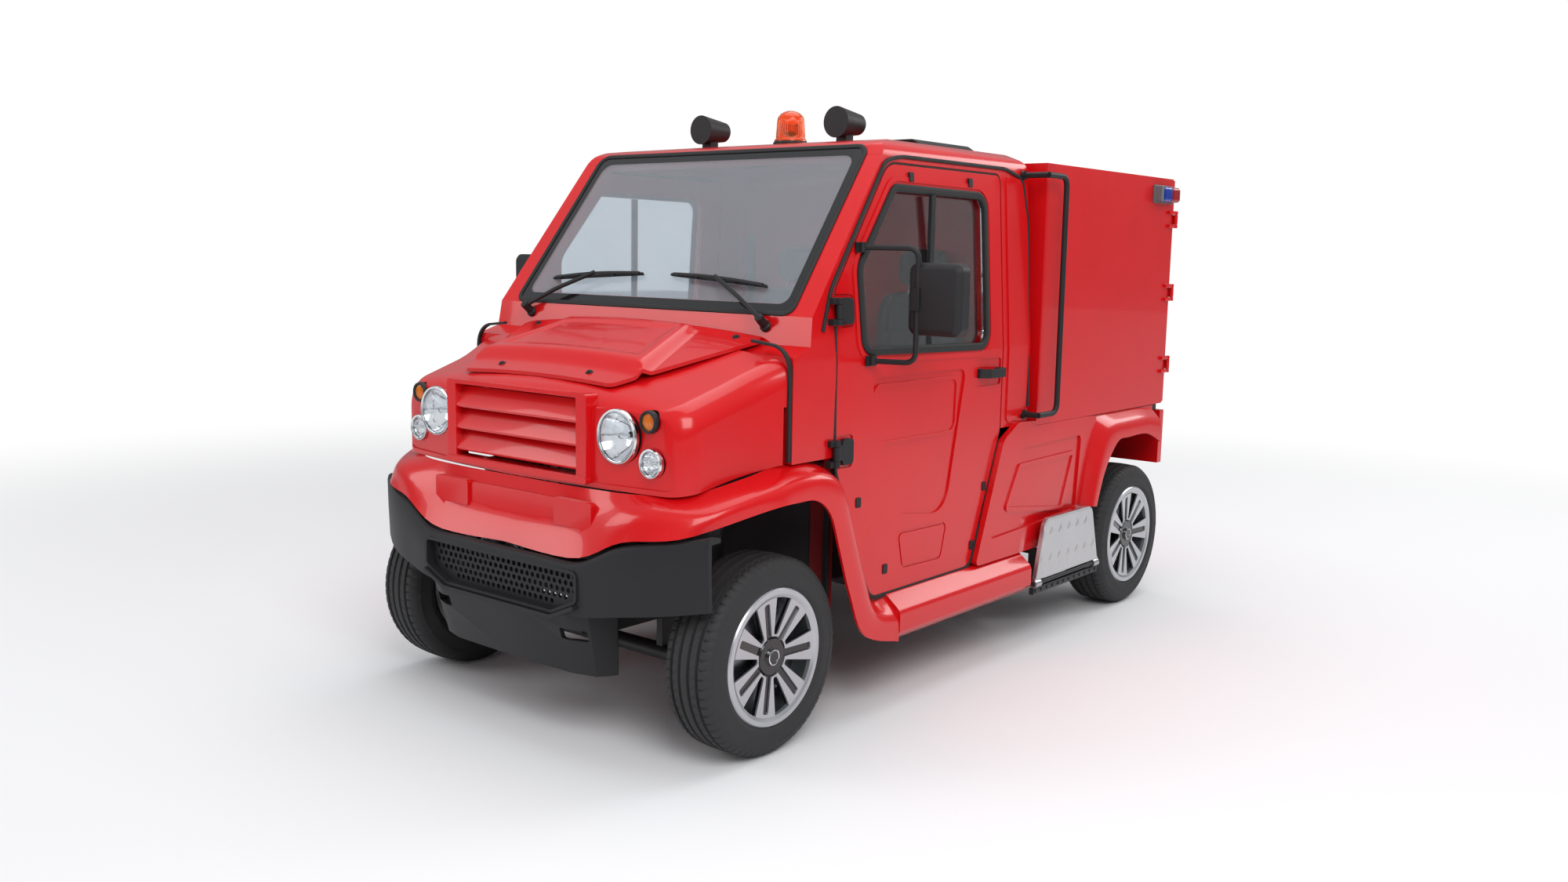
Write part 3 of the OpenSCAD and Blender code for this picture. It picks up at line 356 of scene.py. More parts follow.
# A mesh made a piece that stands for a CAD node: doubles joined, flat faces made whole, every sharp edge
# rounded. patches gives other finishes to the faces whose centres lie in a region: (finish, rule on centres
# and normals).
def dress(name, mesh, node, width, patches=(), finish=None, steps=2, sharp=28, replace=True):
    work = bmesh.new()
    work.from_mesh(mesh)
    bmesh.ops.remove_doubles(work, verts=work.verts, dist=2e-5)
    bmesh.ops.dissolve_limit(work, angle_limit=math.radians(0.4), verts=work.verts, edges=work.edges)
    bmesh.ops.recalc_face_normals(work, faces=work.faces)
    work.to_mesh(mesh)
    work.free()
    mesh.materials.clear()
    mesh.materials.append(finishes[finish or slotFinishes[nodeSlot[node]]])
    centres = np.zeros(len(mesh.polygons) * 3)
    mesh.polygons.foreach_get("center", centres)
    normals = np.zeros(len(mesh.polygons) * 3)
    mesh.polygons.foreach_get("normal", normals)
    chosen = np.zeros(len(mesh.polygons), int)
    for order, (patchFinish, rule) in enumerate(patches, 1):
        mesh.materials.append(finishes[patchFinish])
        chosen[rule(centres.reshape(-1, 3), normals.reshape(-1, 3))] = order
    mesh.polygons.foreach_set("material_index", chosen)
    piece = addPiece(name, mesh, bodyOf[node], None, sharp)
    if width:
        roundEdges(piece, width / 1000, steps, sharp)
    if replace:
        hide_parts(node)
    return piece


def softened(name, width, patches=(), finish=None, steps=2, sharp=28):  # a CAD node's own shape, finished
    return dress(name + "Skin", nodes[name].data.copy(), name, width, patches, finish, steps, sharp)


# places shared by several pieces
frontAxleY = -1.075
trackX = 0.6345
axleYs = {"front": frontAxleY, "rear": 1.155}
cab = {"halfWidth": 0.68, "beltHeight": 1.07, "roofEdge": 1.695, "lean": 0.042}
sides = {"left": 1, "right": -1}


def skinX(z):  # half width of the cab's skin at height z
    return cab["halfWidth"] - cab["lean"] * np.clip((z
                                                     - cab["beltHeight"]) / (cab["roofEdge"]
                                                         - cab["beltHeight"]), 0, 1)


# Side-view points (station behind the front axle, height) placed on the cab's skin, a distance outside it.
def onSkin(outline, away, side):
    outline = np.asarray(outline, float)
    return np.stack([side * (skinX(outline[:, 1]) + away), frontAxleY + outline[:, 0], outline[:, 1]], -1)


screen = {"foot": (0.0, frontAxleY + 0.190, 1.200), "slope": math.radians(52.6), "length": 0.6456,
          "footHalf": 0.588, "topHalf": 0.570, "border": 0.030, "sealWidth": 0.014, "sealHeight": 0.005}
window = {"corners": [(0.430, 1.095), (0.415, 1.340), (0.602, 1.575), (1.125, 1.571), (1.125, 1.082)],
          "radii": [0.042, 0.070, 0.045, 0.050, 0.050], "sealWidth": 0.024, "sealHeight": 0.007,
          "barX": 0.655, "barStation": 0.80}


# Points (across, up the slope, out of the glass) placed on the windscreen's plane.
def onScreen(points):
    points = np.asarray(points, float)
    slope = screen["slope"]
    up, out = np.array([0, math.cos(slope),
                        math.sin(slope)]), np.array([0, -math.sin(slope), math.cos(slope)])
    return screen["foot"] + points[:, :1] * (1, 0, 0) + points[:, 1:2] * up + points[:, 2:3] * out


screenOut = np.array([0, -math.sin(screen["slope"]), math.cos(screen["slope"])])


# forms: closed solids as (points, faces), for the painted and moulded panels. Their measures are millimetres:
# x is across, s the station behind the front axle and z the height. An outline's corners are (across or s, z,
# radius).

# Outline with its corners rounded, and every edge first moved out by grow along its normal.
def outline(corners, grow=0.0, steps=7):
    corners = np.array(corners, float)
    place, radius = corners[:, :2], corners[:, 2]
    if grow:
        before = np.roll(place, 1, 0)
        run = (place - before) / np.linalg.norm(place - before, axis=1, keepdims=True)
        out = np.stack([run[:, 1], -run[:, 0]], -1)
        following = np.roll(out, -1, 0)
        turn = np.sign((before[:, 0] * place[:, 1] - before[:, 1] * place[:, 0]).sum())
        place = place + turn * grow * (out + following) / (1 + (out * following).sum(1, keepdims=True))
        radius = np.where(radius > 0, np.maximum(1, radius + grow), 0)
    return rounded(place, radius, steps) / 1000


def panelOutline(u0, u1, v0, v1, radius):  # rectangle with all its corners rounded alike
    return outline([(u0, v0, radius), (u1, v0, radius), (u1, v1, radius), (u0, v1, radius)])


def bothHalves(corners):  # corners of the right half, from top to bottom, carried over to the left
    corners = np.array(corners, float)
    across = corners[::-1][corners[::-1, 0] != 0] * (-1, 1, 1)
    return np.vstack([corners, across])


def sideForm(x0, x1, loop):  # side outline carried across from x0 to x1
    loop = np.asarray(loop)
    return slab(np.column_stack([np.full(len(loop), x0 / 1000), frontAxleY + loop[:, 0], loop[:, 1]]),
                ((x1 - x0) / 1000, 0, 0))


def frontForm(s0, s1, loop):  # front outline carried along from station s0 to s1
    loop = np.asarray(loop)
    return slab(np.column_stack([loop[:, 0], np.full(len(loop), frontAxleY + s0 / 1000), loop[:, 1]]),
                (0, (s1 - s0) / 1000, 0))


def planForm(z0, z1, loop):  # plan outline carried up from z0 to z1
    loop = np.asarray(loop)
    return slab(np.column_stack([loop[:, 0], frontAxleY + loop[:, 1], np.full(len(loop), z0 / 1000)]),
                (0, 0, (z1 - z0) / 1000))


def boxForm(x0, x1, s0, s1, z0, z1):
    return block((x0 / 1000, frontAxleY + s0 / 1000, z0 / 1000),
                 (x1 / 1000, frontAxleY + s1 / 1000, z1 / 1000))


# Solid through rings of equal length. Its ends are flat, or strips that join each point of a ring's first
# half to its match in the second half.
def loftForm(rings, strips=False):
    rings = np.asarray(rings, float) / 1000 + (0, frontAxleY, 0)
    count, last = rings.shape[1], (rings.shape[0] - 1) * rings.shape[1]
    points, faces = weave(rings, closeColumns=True)
    caps = [[i, i + 1, count - 2 - i, count - 1 - i]
            for i in range(count // 2 - 1)] if strips else [list(range(count))]
    return points, faces + caps + [[v + last for v in cap] for cap in caps]


def mirrored(form):  # every x changes its sign
    return form[0] * (-1, 1, 1), form[1]


def bothSides(form):
    return together(form, mirrored(form))


def scratch(form):  # object that only lends its shape
    mesh = bpy.data.meshes.new("scratch")
    mesh.from_pydata(np.asarray(form[0]).tolist(), [], form[1])
    work = bmesh.new()
    work.from_mesh(mesh)
    bmesh.ops.remove_doubles(work, verts=work.verts, dist=1e-6)
    bmesh.ops.recalc_face_normals(work, faces=work.faces)
    work.to_mesh(mesh)
    work.free()
    thing = bpy.data.objects.new("scratch", mesh)
    scene.collection.objects.link(thing)
    return thing


def cut(form):
    return "DIFFERENCE", form


def add(form):
    return "UNION", form


def keep(form):
    return "INTERSECT", form


# A solid worked on in turn by others: each is added to it, cut from it, or keeps what lies in both.
def carved(form, *steps):
    things = [scratch(form)]
    for kind, tool in steps:
        things.append(scratch(tool))
        change = things[0].modifiers.new(kind, "BOOLEAN")
        change.operation, change.solver, change.object = kind, "MANIFOLD", things[-1]
    mesh = settledMesh(things[0])
    result = meshPoints(mesh), [list(face.vertices) for face in mesh.polygons]
    for thing in things:
        shape = thing.data
        bpy.data.objects.remove(thing)
        bpy.data.meshes.remove(shape)
    bpy.data.meshes.remove(mesh)
    return result


def joined(*forms):
    return carved(forms[0], *[add(form) for form in forms[1:]])


# A form as a piece of the model: triangles joined to whole flat faces, sharp edges rounded.
def addForm(name, form, node, width, finish=None, patches=(), steps=2, sharp=28, replace=True):
    mesh = bpy.data.meshes.new(name)
    mesh.from_pydata(np.asarray(form[0]).tolist(), [], form[1])
    return dress(name, mesh, node, width, patches, finish, steps, sharp, replace)


# tyres
tyre = {"radius": 0.280, "width": 0.175, "beadRadius": 0.1805, "grooveDepth": 0.007, "grooveHalf": 0.0045,
        "grooves": (-0.045, -0.0155, 0.0155, 0.045), "pitches": 66, "sipeDepth": 0.005}


# Tread and sidewall as one grid: the profile's radius is lowered in a groove by a smooth step of the distance
# from the groove's middle, and in a sipe by a step of the angle within one pitch, slanted with the distance
# from the centre.
def tyreShape(centre, side):
    half = tyre["width"] / 2
    outer = tyre["radius"]
    across = np.unique(np.concatenate([np.linspace(-0.062, 0.062, 31)]
                                      + [g + np.array([-1.25, -1, -0.8, 0, 0.8, 1, 1.25]) * tyre["grooveHalf"]
                                         for g in tyre["grooves"]]))
    crown = outer - 0.0028 * (across / 0.06) ** 2
    wall = np.array([[outer - 0.0075, 0.069], [outer - 0.014, 0.0765], [outer - 0.024, 0.0815],
                     [outer - 0.028, 0.0822], [outer - 0.030, 0.0836], [outer - 0.036, 0.0846],
                     [outer - 0.038, 0.0838], [outer - 0.052, half], [outer - 0.066, 0.0866],
                     [outer - 0.069, 0.0872], [outer - 0.074, 0.0868], [outer - 0.080, 0.0838],
                     [0.1890, 0.0750], [0.1865, 0.0705], [0.1840, 0.0700], [tyre["beadRadius"], 0.0640],
                     [tyre["beadRadius"], 0.0575]])
    profile = np.vstack([wall[::-1] * (1, -1), np.stack([crown, across], -1), wall])
    steps = 6
    angle = np.linspace(0, 2 * np.pi, tyre["pitches"] * steps, endpoint=False)[:, None]
    radius, along = profile[:, 0] + 0 * angle, profile[:, 1] + 0 * angle
    for groove in tyre["grooves"]:
        radius -= tyre["grooveDepth"] * np.clip((tyre["grooveHalf"] * 1.2 - abs(along - groove)) / 0.0012, 0,
                                                1)
    turn = angle * tyre["pitches"] / (2 * np.pi)
    phase = (turn + np.where(abs(along) > 0.05, 6.0, 14.0) * along) % 1.0
    cut = np.clip(1 - abs(phase - 0.5) * 9, 0, 1) ** 0.5
    shoulder = (abs(along) > 0.0515) & (radius > outer - 0.02)
    ribs = (abs(abs(along) - 0.030) < 0.008) & (radius > outer - 0.004)
    radius -= tyre["sipeDepth"] * cut * shoulder + 0.6 * tyre["sipeDepth"] * cut * ribs
    marks = (abs(radius - (outer - 0.033)) < 0.0035) & ((turn * 2 % 11) < 1.2)
    along = along + np.sign(along) * 0.0008 * marks
    grid = np.stack([side * along, radius * np.cos(angle), radius * np.sin(angle)], -1) + centre
    return weave(grid, closeRows=True, closeColumns=True)


for end, y in axleYs.items():
    for sideName, side in sides.items():
        body = f"{end}_{sideName}_wheel"
        centre = np.array([side * trackX, y, tyre["radius"]])
        piece = build(f"{end}{sideName.title()}Tyre", [tyreShape(centre, side)], body, "tyreRubber",
                      sharp=40)
        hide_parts(f"{end}_{sideName}_tyre")
print("tyres made")

# wheels: rim, disc with holes, dished black cover with windows, silver blades two to a spoke, outer ring,
# black cap
cover = {"spokes": 7, "faceOut": 83.5, "rimRadius": 180, "coverRadius": 194, "tipRadius": 62,
         "windowRadius": 173, "bladeWidth": 30, "slotWidth": 22, "edge": 0.8}


def spokeTools(shape, centre, side, offset):  # an outline drawn outwards from the hub, once for each spoke
    angle = (np.arange(cover["spokes"]) + offset) * 2 * np.pi / cover["spokes"]
    cos, sin = np.cos(angle)[:, None], np.sin(angle)[:, None]
    loops = np.stack([shape[:, 0] * cos - shape[:, 1] * sin, shape[:, 0] * sin + shape[:, 1] * cos], -1)
    x0, x1 = (cover["faceOut"] - 60) / 1000 * side, (cover["faceOut"] + 20) / 1000 * side
    return together(*[slab(np.column_stack([np.full(len(loop), x0), loop]) + centre, (x1 - x0, 0, 0))
                      for loop in loops])


# The turned forms of one wheel: each is a profile of (radius, distance out) carried round the axle, then cut
# by the windows between the spokes and the slots down their middles.
def wheelForms(centre, side):
    face, rim, outer = cover["faceOut"], cover["rimRadius"], cover["coverRadius"]
    tip, reach, half = cover["tipRadius"], cover["windowRadius"], cover["slotWidth"] / 2
    spread = reach * math.sin(math.pi / cover["spokes"]) - cover["bladeWidth"] - half
    window = outline([(tip, -7, 6), (reach, -spread, 8), (reach + 3, 0, 60), (reach, spread, 8), (tip, 7, 6)])
    slot = outline([(40, -half, 0), (rim - 22, -half, 6), (rim - 22, half, 6), (40, half, 0)])

    def ring(profile):
        return turned(np.array(profile) / 1000 * (1, side), centre, "x", 112)

    windows, slots = spokeTools(window, centre, side, 0.5), spokeTools(slot, centre, side, 0.0)
    dish = carved(ring([(0, face - 32), (60, face - 32), (rim - 10, face - 18), (rim - 10, face - 9),
                        (54, face - 20), (50, face - 14), (28, face - 14), (24, face - 8),
                        (0, face - 7)]), cut(windows))
    blades = carved(ring([(57, face - 19.5), (rim - 12, face - 10), (rim - 12, face - 4), (57, face - 14)]),
                    cut(slots), cut(windows))
    edge = ring([(rim - 13, face - 18), (outer, face - 10), (outer, face - 4), (outer - 4, face),
                 (rim - 3, face), (rim - 13, face - 6)])
    inner = -tyre["width"] * 500
    barrel = ring([(rim - 12, inner + 16), (rim, inner + 16), (rim, inner + 40), (rim - 5, inner + 54),
                   (rim - 5, -inner - 54), (rim, -inner - 40), (rim, -inner - 18), (rim - 12, -inner - 18),
                   (rim - 12, -inner - 44), (rim - 14, -inner - 58), (rim - 14, inner + 58),
                   (rim - 12, inner + 44)])
    disc = ring([(20, -10), (60, -10), (60, 12), (110, 20), (rim - 15, 8), (rim - 15, 16), (110, 32),
                 (20, 36)])
    turn = np.arange(12) * math.pi / 6
    holes = [turned([(0, -0.02), (0.014, -0.02), (0.014, 0.06), (0, 0.06)] * np.array((1, side)),
                    centre + (0, 0.130 * math.cos(a), 0.130 * math.sin(a)), "x", 24) for a in turn]
    hub = ring([(0, 36), (44, 30), (44, face - 30), (0, face - 30)])
    return {"Dish": (dish, "glossBlack"), "Blades": (blades, "silverPaint"), "Edge": (edge, "silverPaint"),
            "Barrel": (together(barrel, carved(disc, cut(together(*holes)))), "bareSteel"),
            "Hub": (hub, "blackPlastic")}


for end, y in axleYs.items():
    for sideName, side in sides.items():
        centre = np.array([side * trackX, y, tyre["radius"]])
        node = f"{end}_{sideName}_wheel"
        for part, (form, finish) in wheelForms(centre, side).items():
            width = 0 if part in ("Barrel", "Hub", "Edge") else cover["edge"]
            addForm(f"{end}{sideName.title()}{part}", form, node, width, finish, steps=1,
                    replace=part == "Dish")
        ring = [(0.0185, 0.0775), (0.0205, 0.0783), (0.0225, 0.0775), (0.0225, 0.0760), (0.0185, 0.0760)]
        build(f"{end}{sideName.title()}HubRing", [turned(np.array(ring) * (1, side), centre, "x", 48)], node,
              "chrome")
print("wheels made")

# CAD pieces whose own shape is kept: rounding of their edges, in millimetres
softEdges = {"roof_panel": 5, "equipment_box": 6, "box_door_left": 5, "box_door_right": 5, "rear_panel": 4,
             "bed_frame": 3, "rear_axle": 2, "front_axle": 3, "chassis_rails": 5, "cross_members": 4,
             "chassis_brackets": 3, "battery_pack": 8, "cab_floor": 4, "dashboard": 8, "knuckle_left": 3,
             "knuckle_right": 3, "side_step_left": 2, "side_step_right": 2, "horn_speakers": 1}
for name, width in softEdges.items():
    softened(name, width)
print("CAD pieces finished:", len(softEdges))

# cab: a front section and a side profile carried through each other, hollowed by the wall's thickness
body = {"halfCab": 680, "topHalf": 638, "belt": 1070, "roofEdge": 1695, "roof": 1735, "wall": 42, "crown": 14,
        "noseFoot": 738, "frontS": 100, "backS": 1415, "screenFoot": (190, 1200), "screenTop": (582, 1713),
        "roofJoint": 1670, "sill": 350, "doorFront": 300, "doorRear": 1225, "halfWidth": 742, "boxFloor": 790,
        "boxFront": 1445, "wheelbase": 2230, "rear": 2540}
noseLine = {"front": -310, "bonnetFront": -238, "bonnetRear": 176, "frontHalf": 318, "rearHalf": 520,
            "rise": 0.33, "sideHalf": 608, "wall": 12, "shoulder": 70, "back": 99.7, "grilleHalf": 262,
            "grille": (768, 980), "louvres": 4}


def crown(x):  # fall of the bonnet's line, as the square of the distance from the middle
    return 36 * (np.asarray(x) / 600) ** 2


def bonnetTop(x, s):  # rises evenly with the station, less the crown
    return body["noseFoot"] + 277 + noseLine["rise"] * (s - noseLine["bonnetFront"]) - crown(x)


# The cab's outer form, drawn in by inset: what lies inside both its front section and its side profile.
def cabForm(inset):
    half, top, foot = body["halfCab"] - inset, body["topHalf"] - inset, body["noseFoot"] + 60
    x = (body["topHalf"] - 70) * (1 - np.arange(9) / 8)
    roof = np.column_stack([x, body["roof"] - inset - body["crown"] * (x / body["topHalf"]) ** 2, 0 * x])
    section = bothHalves(np.vstack([[(half, foot, 0), (half, body["belt"], 0),
                                     (top, body["roofEdge"] - inset, 45)], roof]))
    (s0, z0), (s1, z1) = body["screenFoot"], body["screenTop"]
    lean = inset / math.sin(math.atan2(z1 - z0, s1 - s0))
    ledge = bonnetTop(noseLine["rearHalf"], np.array((body["frontS"], noseLine["bonnetRear"]))) - 6 - inset
    profile = [(body["frontS"] + inset, body["noseFoot"] + 50, 0), (body["frontS"] + inset, ledge[0], 0),
               (noseLine["bonnetRear"] + 2 + inset, ledge[1], 0), (s0 + lean, z0, 0),
               (s1 + lean, z1 - inset, 60), (s1 + 180, body["roof"] - inset, 0),
               (body["backS"] - inset, body["roof"] - inset, 70),
               (body["backS"] - inset, body["noseFoot"] + 50, 0)]
    return carved(frontForm(0, body["backS"] + 100, outline(section)),
                  keep(sideForm(-body["halfCab"] - 10, body["halfCab"] + 10, outline(profile))))


# Slab in the windscreen's plane: half widths at foot and top, margin up from the foot, depth inwards.
def screenForm(footHalf, topHalf, margin, depth):
    length = screen["length"] * 1000
    flat = outline(bothHalves([(topHalf, length - 18 - margin * 0.6, 40), (footHalf, margin, 30)]))
    loop = onScreen(np.column_stack([flat, np.full(len(flat), -depth / 1000)]))
    return slab(loop, screenOut * (depth + 20) / 1000)


# Slab that follows the doors' skin, from t0 inside it to t1 outside it.
def skinForm(t0, t1, s0=None, s1=None):
    half, top = body["halfCab"], body["topHalf"]
    loop = np.array([(half + t1, 0), (half + t1, body["belt"]), (top + t1, body["roofEdge"]),
                     (top - t0, body["roofEdge"]), (half - t0, body["belt"]), (half - t0, 0)]) / 1000
    return frontForm(body["doorFront"] - 60 if s0 is None else s0, body["backS"] if s1 is None else s1, loop)


doorFront, doorRear, beltLine, sill = body["doorFront"], body["doorRear"], body["belt"], body["sill"]
doorCorners = [(doorFront, beltLine + 205, 60), (doorFront, body["noseFoot"] + 25, 60),
               (doorFront + 190, sill, 35), (doorRear - 170, sill, 45), (doorRear, beltLine - 280, 60),
               (doorRear, body["roofEdge"] - 52, 25), (577, body["roofEdge"] - 52, 75)]
windowCorners = [(doorFront + 130, beltLine + 25, 42), (doorFront + 115, beltLine + 270, 70),
                 (602, body["roofEdge"] - 120, 45), (doorRear - 100, body["roofEdge"] - 124, 50),
                 (doorRear - 100, beltLine + 12, 50)]
half, roofJoint = body["halfCab"], body["roofJoint"]
cabShell = carved(cabForm(0), cut(cabForm(body["wall"])),
                  cut(boxForm(-half, half, -200, 2000, 0, body["noseFoot"] + 55)),
                  cut(boxForm(-half, half, -200, 2000, roofJoint, body["roof"] + 100)),
                  cut(sideForm(-half - 20, half + 20, outline(doorCorners, 7))),
                  cut(screenForm(half - 125, body["topHalf"] - 96, 45, 200)),
                  cut(screenForm(half - 90, body["topHalf"] - 66, 8, 8.3)),
                  cut(boxForm(-half + 42, half - 42, 0, 250, 0, 1080)))
backPad = carved(sideForm(half - 80, half + 20,
                          outline([(doorRear + 37, 808, 20), (1393, 845, 30), (1403, 1633, 60),
                                   (doorRear + 37, 1647, 20)])),
                 keep(skinForm(3, 5)))
addForm("cabShell", joined(cabShell, backPad, mirrored(backPad)), "cab_shell", 5)

# hinge of a door, the cab's half: two knuckles on brackets, and the pin
hinge = {"x": 694, "s": doorFront - 14, "heights": (beltLine - 260, beltLine + 145), "radius": 11, "pin": 5}


def upright(x, s, z0, z1, radius, count=28):  # round bar standing at x and s
    profile = np.array([(0, z0), (radius, z0), (radius, z1), (0, z1)]) / 1000
    return turned(profile, (x / 1000, frontAxleY + s / 1000, 0), "z", count)


cabHinges = []
for z in hinge["heights"]:
    cabHinges.append(upright(hinge["x"], hinge["s"], z - 38, z + 38, hinge["pin"]))
    for level in (z - 30, z + 30):
        skin = skinX(z / 1000) * 1000
        cabHinges += [upright(hinge["x"], hinge["s"], level - 9, level + 9, hinge["radius"]),
                      boxForm(skin - 8, hinge["x"], doorFront - 40, doorFront - 14, level - 9, level + 9)]
addForm("cabHinges", bothSides(joined(*cabHinges)), "cab_shell", 1.5, "blackPlastic", replace=False)
print("cab made")


# Section of the nose at station s: a quarter circle on the shoulder, the crown over the middle.
# roundIn draws it in round the front edge, inset makes the inner face.
def noseRing(s, roundIn, inset):
    reach = noseLine["sideHalf"] + (body["halfCab"] - 6 - noseLine["sideHalf"]) * noseShare(s) ** 2
    w, top = reach - inset - roundIn, bonnetTop(0, s) - inset - 0.6 * roundIn
    bend = noseLine["shoulder"]
    x0, z0 = w - bend, top - crown(w - bend) - 2 - bend
    turn = np.radians(np.linspace(0, 90, 13))
    across = x0 * np.array([0.8, 0.6, 0.4, 0.2, 0.0])
    half = np.vstack([np.column_stack([x0 + bend * np.cos(turn), z0 + bend * np.sin(turn)]),
                      np.column_stack([across, top - crown(across)])])
    upper = np.vstack([half, half[-2::-1] * (-1, 1)])
    ring = np.vstack([upper,
                      np.column_stack([upper[::-1, 0], np.full(len(upper), body["noseFoot"] + inset)])])
    return np.column_stack([ring[:, 0], s + noseBow(ring[:, 0], s), ring[:, 1]])


def noseShare(s):  # 0 at the nose's front, 1 at its back
    return np.clip((s - noseLine["front"]) / (noseLine["back"] - noseLine["front"]), 0, 1)


def noseBow(x, s):  # the front bows back with the square of the distance from the middle
    return 60 * (np.asarray(x) / 600) ** 2 * np.clip((noseLine["back"] - s) / 200, 0, 1)


# Rings from the front edge to the cab: the first ones follow a quarter circle of radius bend, the rest run
# straight.
def noseForm(inset, bend=60):
    start = noseLine["front"] + inset + bend
    front = [noseRing(start - bend * math.cos(a), bend * (1 - math.sin(a)), inset)
             for a in np.radians(np.arange(0, 90, 10))]
    rear = [noseRing(s, 0, inset) for s in np.linspace(start, noseLine["back"], 9)]
    return loftForm(front + rear, strips=True)


noseFront, (grilleFoot, grilleTop), grilleHalf = noseLine["front"], noseLine["grille"], noseLine["grilleHalf"]
frameHalf = grilleHalf + 40
grilleFrame = carved(frontForm(noseFront - 4, noseFront + 40,
                               outline(bothHalves([(frameHalf, grilleTop + 12, 10),
                                                   (frameHalf, grilleFoot - 20, 6)]))),
                     cut(frontForm(noseFront - 20, noseFront + 60,
                                   outline(bothHalves([(grilleHalf, grilleTop, 4),
                                                       (grilleHalf, grilleFoot, 4)])))))
footBar = frontForm(noseFront - 9, noseFront + 10,
                    outline(bothHalves([(frameHalf + 4, grilleFoot - 2, 7),
                                        (frameHalf + 4, grilleFoot - 20, 7)])))
pitch = (grilleTop - grilleFoot - 20) / (noseLine["louvres"] - 1)
louvres = [sideForm(-grilleHalf - 4, grilleHalf + 4,
                    outline([(noseFront - 3, z + 2, 2), (noseFront + 2, z - 7, 2),
                             (noseFront + 38, z + pitch - 16, 3), (noseFront + 32, z + pitch - 5, 3)]))
           for z in grilleFoot + 20 + pitch * np.arange(noseLine["louvres"] - 1)]
lampX0, lampX1 = grilleHalf + 44, noseLine["sideHalf"] - 33
lampPlane = carved(frontForm(noseFront - 60, 0,
                             outline([(lampX0, 752, 12), (lampX1 + 12, 752, 40), (lampX1, 978, 34),
                                      (lampX0, 988, 12)])),
                   keep(planForm(738, 1038,
                                 np.array([(lampX0 - 1, noseFront - 60),
                                           (lampX0 - 1, noseFront + noseBow(lampX0, noseFront) + 2),
                                                               (lampX1 + 13, noseFront
                                                                   + noseBow(lampX1, noseFront) + 7),
                                                                       (lampX1 + 13, noseFront
                                                                           - 60)]) / 1000)))
frontLamps = {"head": (0.393, 0.885, 0.073, -0.2843), "amber": (0.496, 0.932, 0.029, -0.2690),
              "side": (0.503, 0.822, 0.039, -0.2678)}  # x, height, lens radius, station of the rim
lampHoles = [turned([(0, -0.2), (lens + 0.001, -0.2), (lens + 0.001, 0.1), (0, 0.1)],
                    (x, frontAxleY - 0.2, z), "y", 64)
             for x, z, lens, station in frontLamps.values()]
inner = noseLine["sideHalf"] - noseLine["wall"]
x = np.linspace(-inner, inner, 17)
under = np.vstack([np.column_stack([x, noseFront + noseBow(x, noseFront) + 41]),
                   [(inner, 300), (-inner, 300)]]) / 1000
noseEdge = np.array([(-260, 738), (-190, 748), (-60, 774), (80, 798), (130, 803), (130, 0), (-260, 0)]) / 1000
panel = carved(noseForm(0), cut(noseForm(noseLine["wall"])),
               cut(boxForm(-grilleHalf, grilleHalf, noseFront - 50, noseFront + 60, grilleFoot, grilleTop)),
               cut(bothSides(lampPlane)), add(grilleFrame), add(footBar), add(together(*louvres)),
               cut(boxForm(-half, half, noseLine["back"] - 20, 150, 0, 958)),
               cut(sideForm(-half - 20, half + 20, noseEdge)),
               cut(planForm(718, 758, under)), cut(bothSides(together(*lampHoles))))
addForm("nosePanel", panel, "nose_panel", 2)

# bonnet: crowned skin with a raised scoop that narrows to the rear, its sides and its shallow dish smooth
# steps of the distance in from the scoop's edge
scoop = {"height": 32, "fall": 8, "slope": 46, "dish": 5, "dishFrom": 60, "dishTo": 86, "frontHalf": 388,
         "narrows": 105, "front": noseLine["bonnetFront"] + 58, "rear": noseLine["bonnetRear"] - 8,
         "skin": 12}


def smoothStep(share):  # the cubic 3u² - 2u³
    share = np.clip(share, 0, 1)
    return share * share * (3 - 2 * share)


# Height of the scoop: a smooth step of the distance in from its edge, less a second step for the dish.
def scoopHeight(x, s):
    along = np.clip((s - scoop["front"]) / (scoop["rear"] - scoop["front"]), 0, 1)
    ends = np.minimum(s - scoop["front"], scoop["rear"] - s)
    edge = np.minimum(scoop["frontHalf"] - scoop["narrows"] * along - abs(x), ends)
    return ((scoop["height"] - scoop["fall"] * along) * smoothStep(edge / scoop["slope"])
            - scoop["dish"] * smoothStep((edge - scoop["dishFrom"]) / (scoop["dishTo"] - scoop["dishFrom"])))


s = np.linspace(noseLine["bonnetFront"] - 10, noseLine["bonnetRear"] + 10, 73)[:, None]
spread = noseLine["frontHalf"] + (noseLine["rearHalf"]
                                  - noseLine["frontHalf"]) * (s - noseLine["bonnetFront"]) / (
    noseLine["bonnetRear"] - noseLine["bonnetFront"]) + 8
x = spread * np.linspace(1, -1, 113)
upper = np.stack([x, s + 0 * x, bonnetTop(x, s) + scoop["skin"] + scoopHeight(x, s)], -1)
lower = np.stack([x, s + 0 * x, bonnetTop(x, s) + 1 + scoopHeight(x, s)], -1)[:, ::-1]
bonnetPlan = outline(bothHalves([(noseLine["frontHalf"], noseLine["bonnetFront"], 30),
                                 (noseLine["rearHalf"], noseLine["bonnetRear"], 20)]))
bonnet = carved(loftForm(np.concatenate([upper, lower], 1), strips=True),
                keep(planForm(738, 1735, bonnetPlan)))
addForm("bonnetPanel", bonnet, "bonnet", 4, sharp=40)
print("nose and bonnet made")


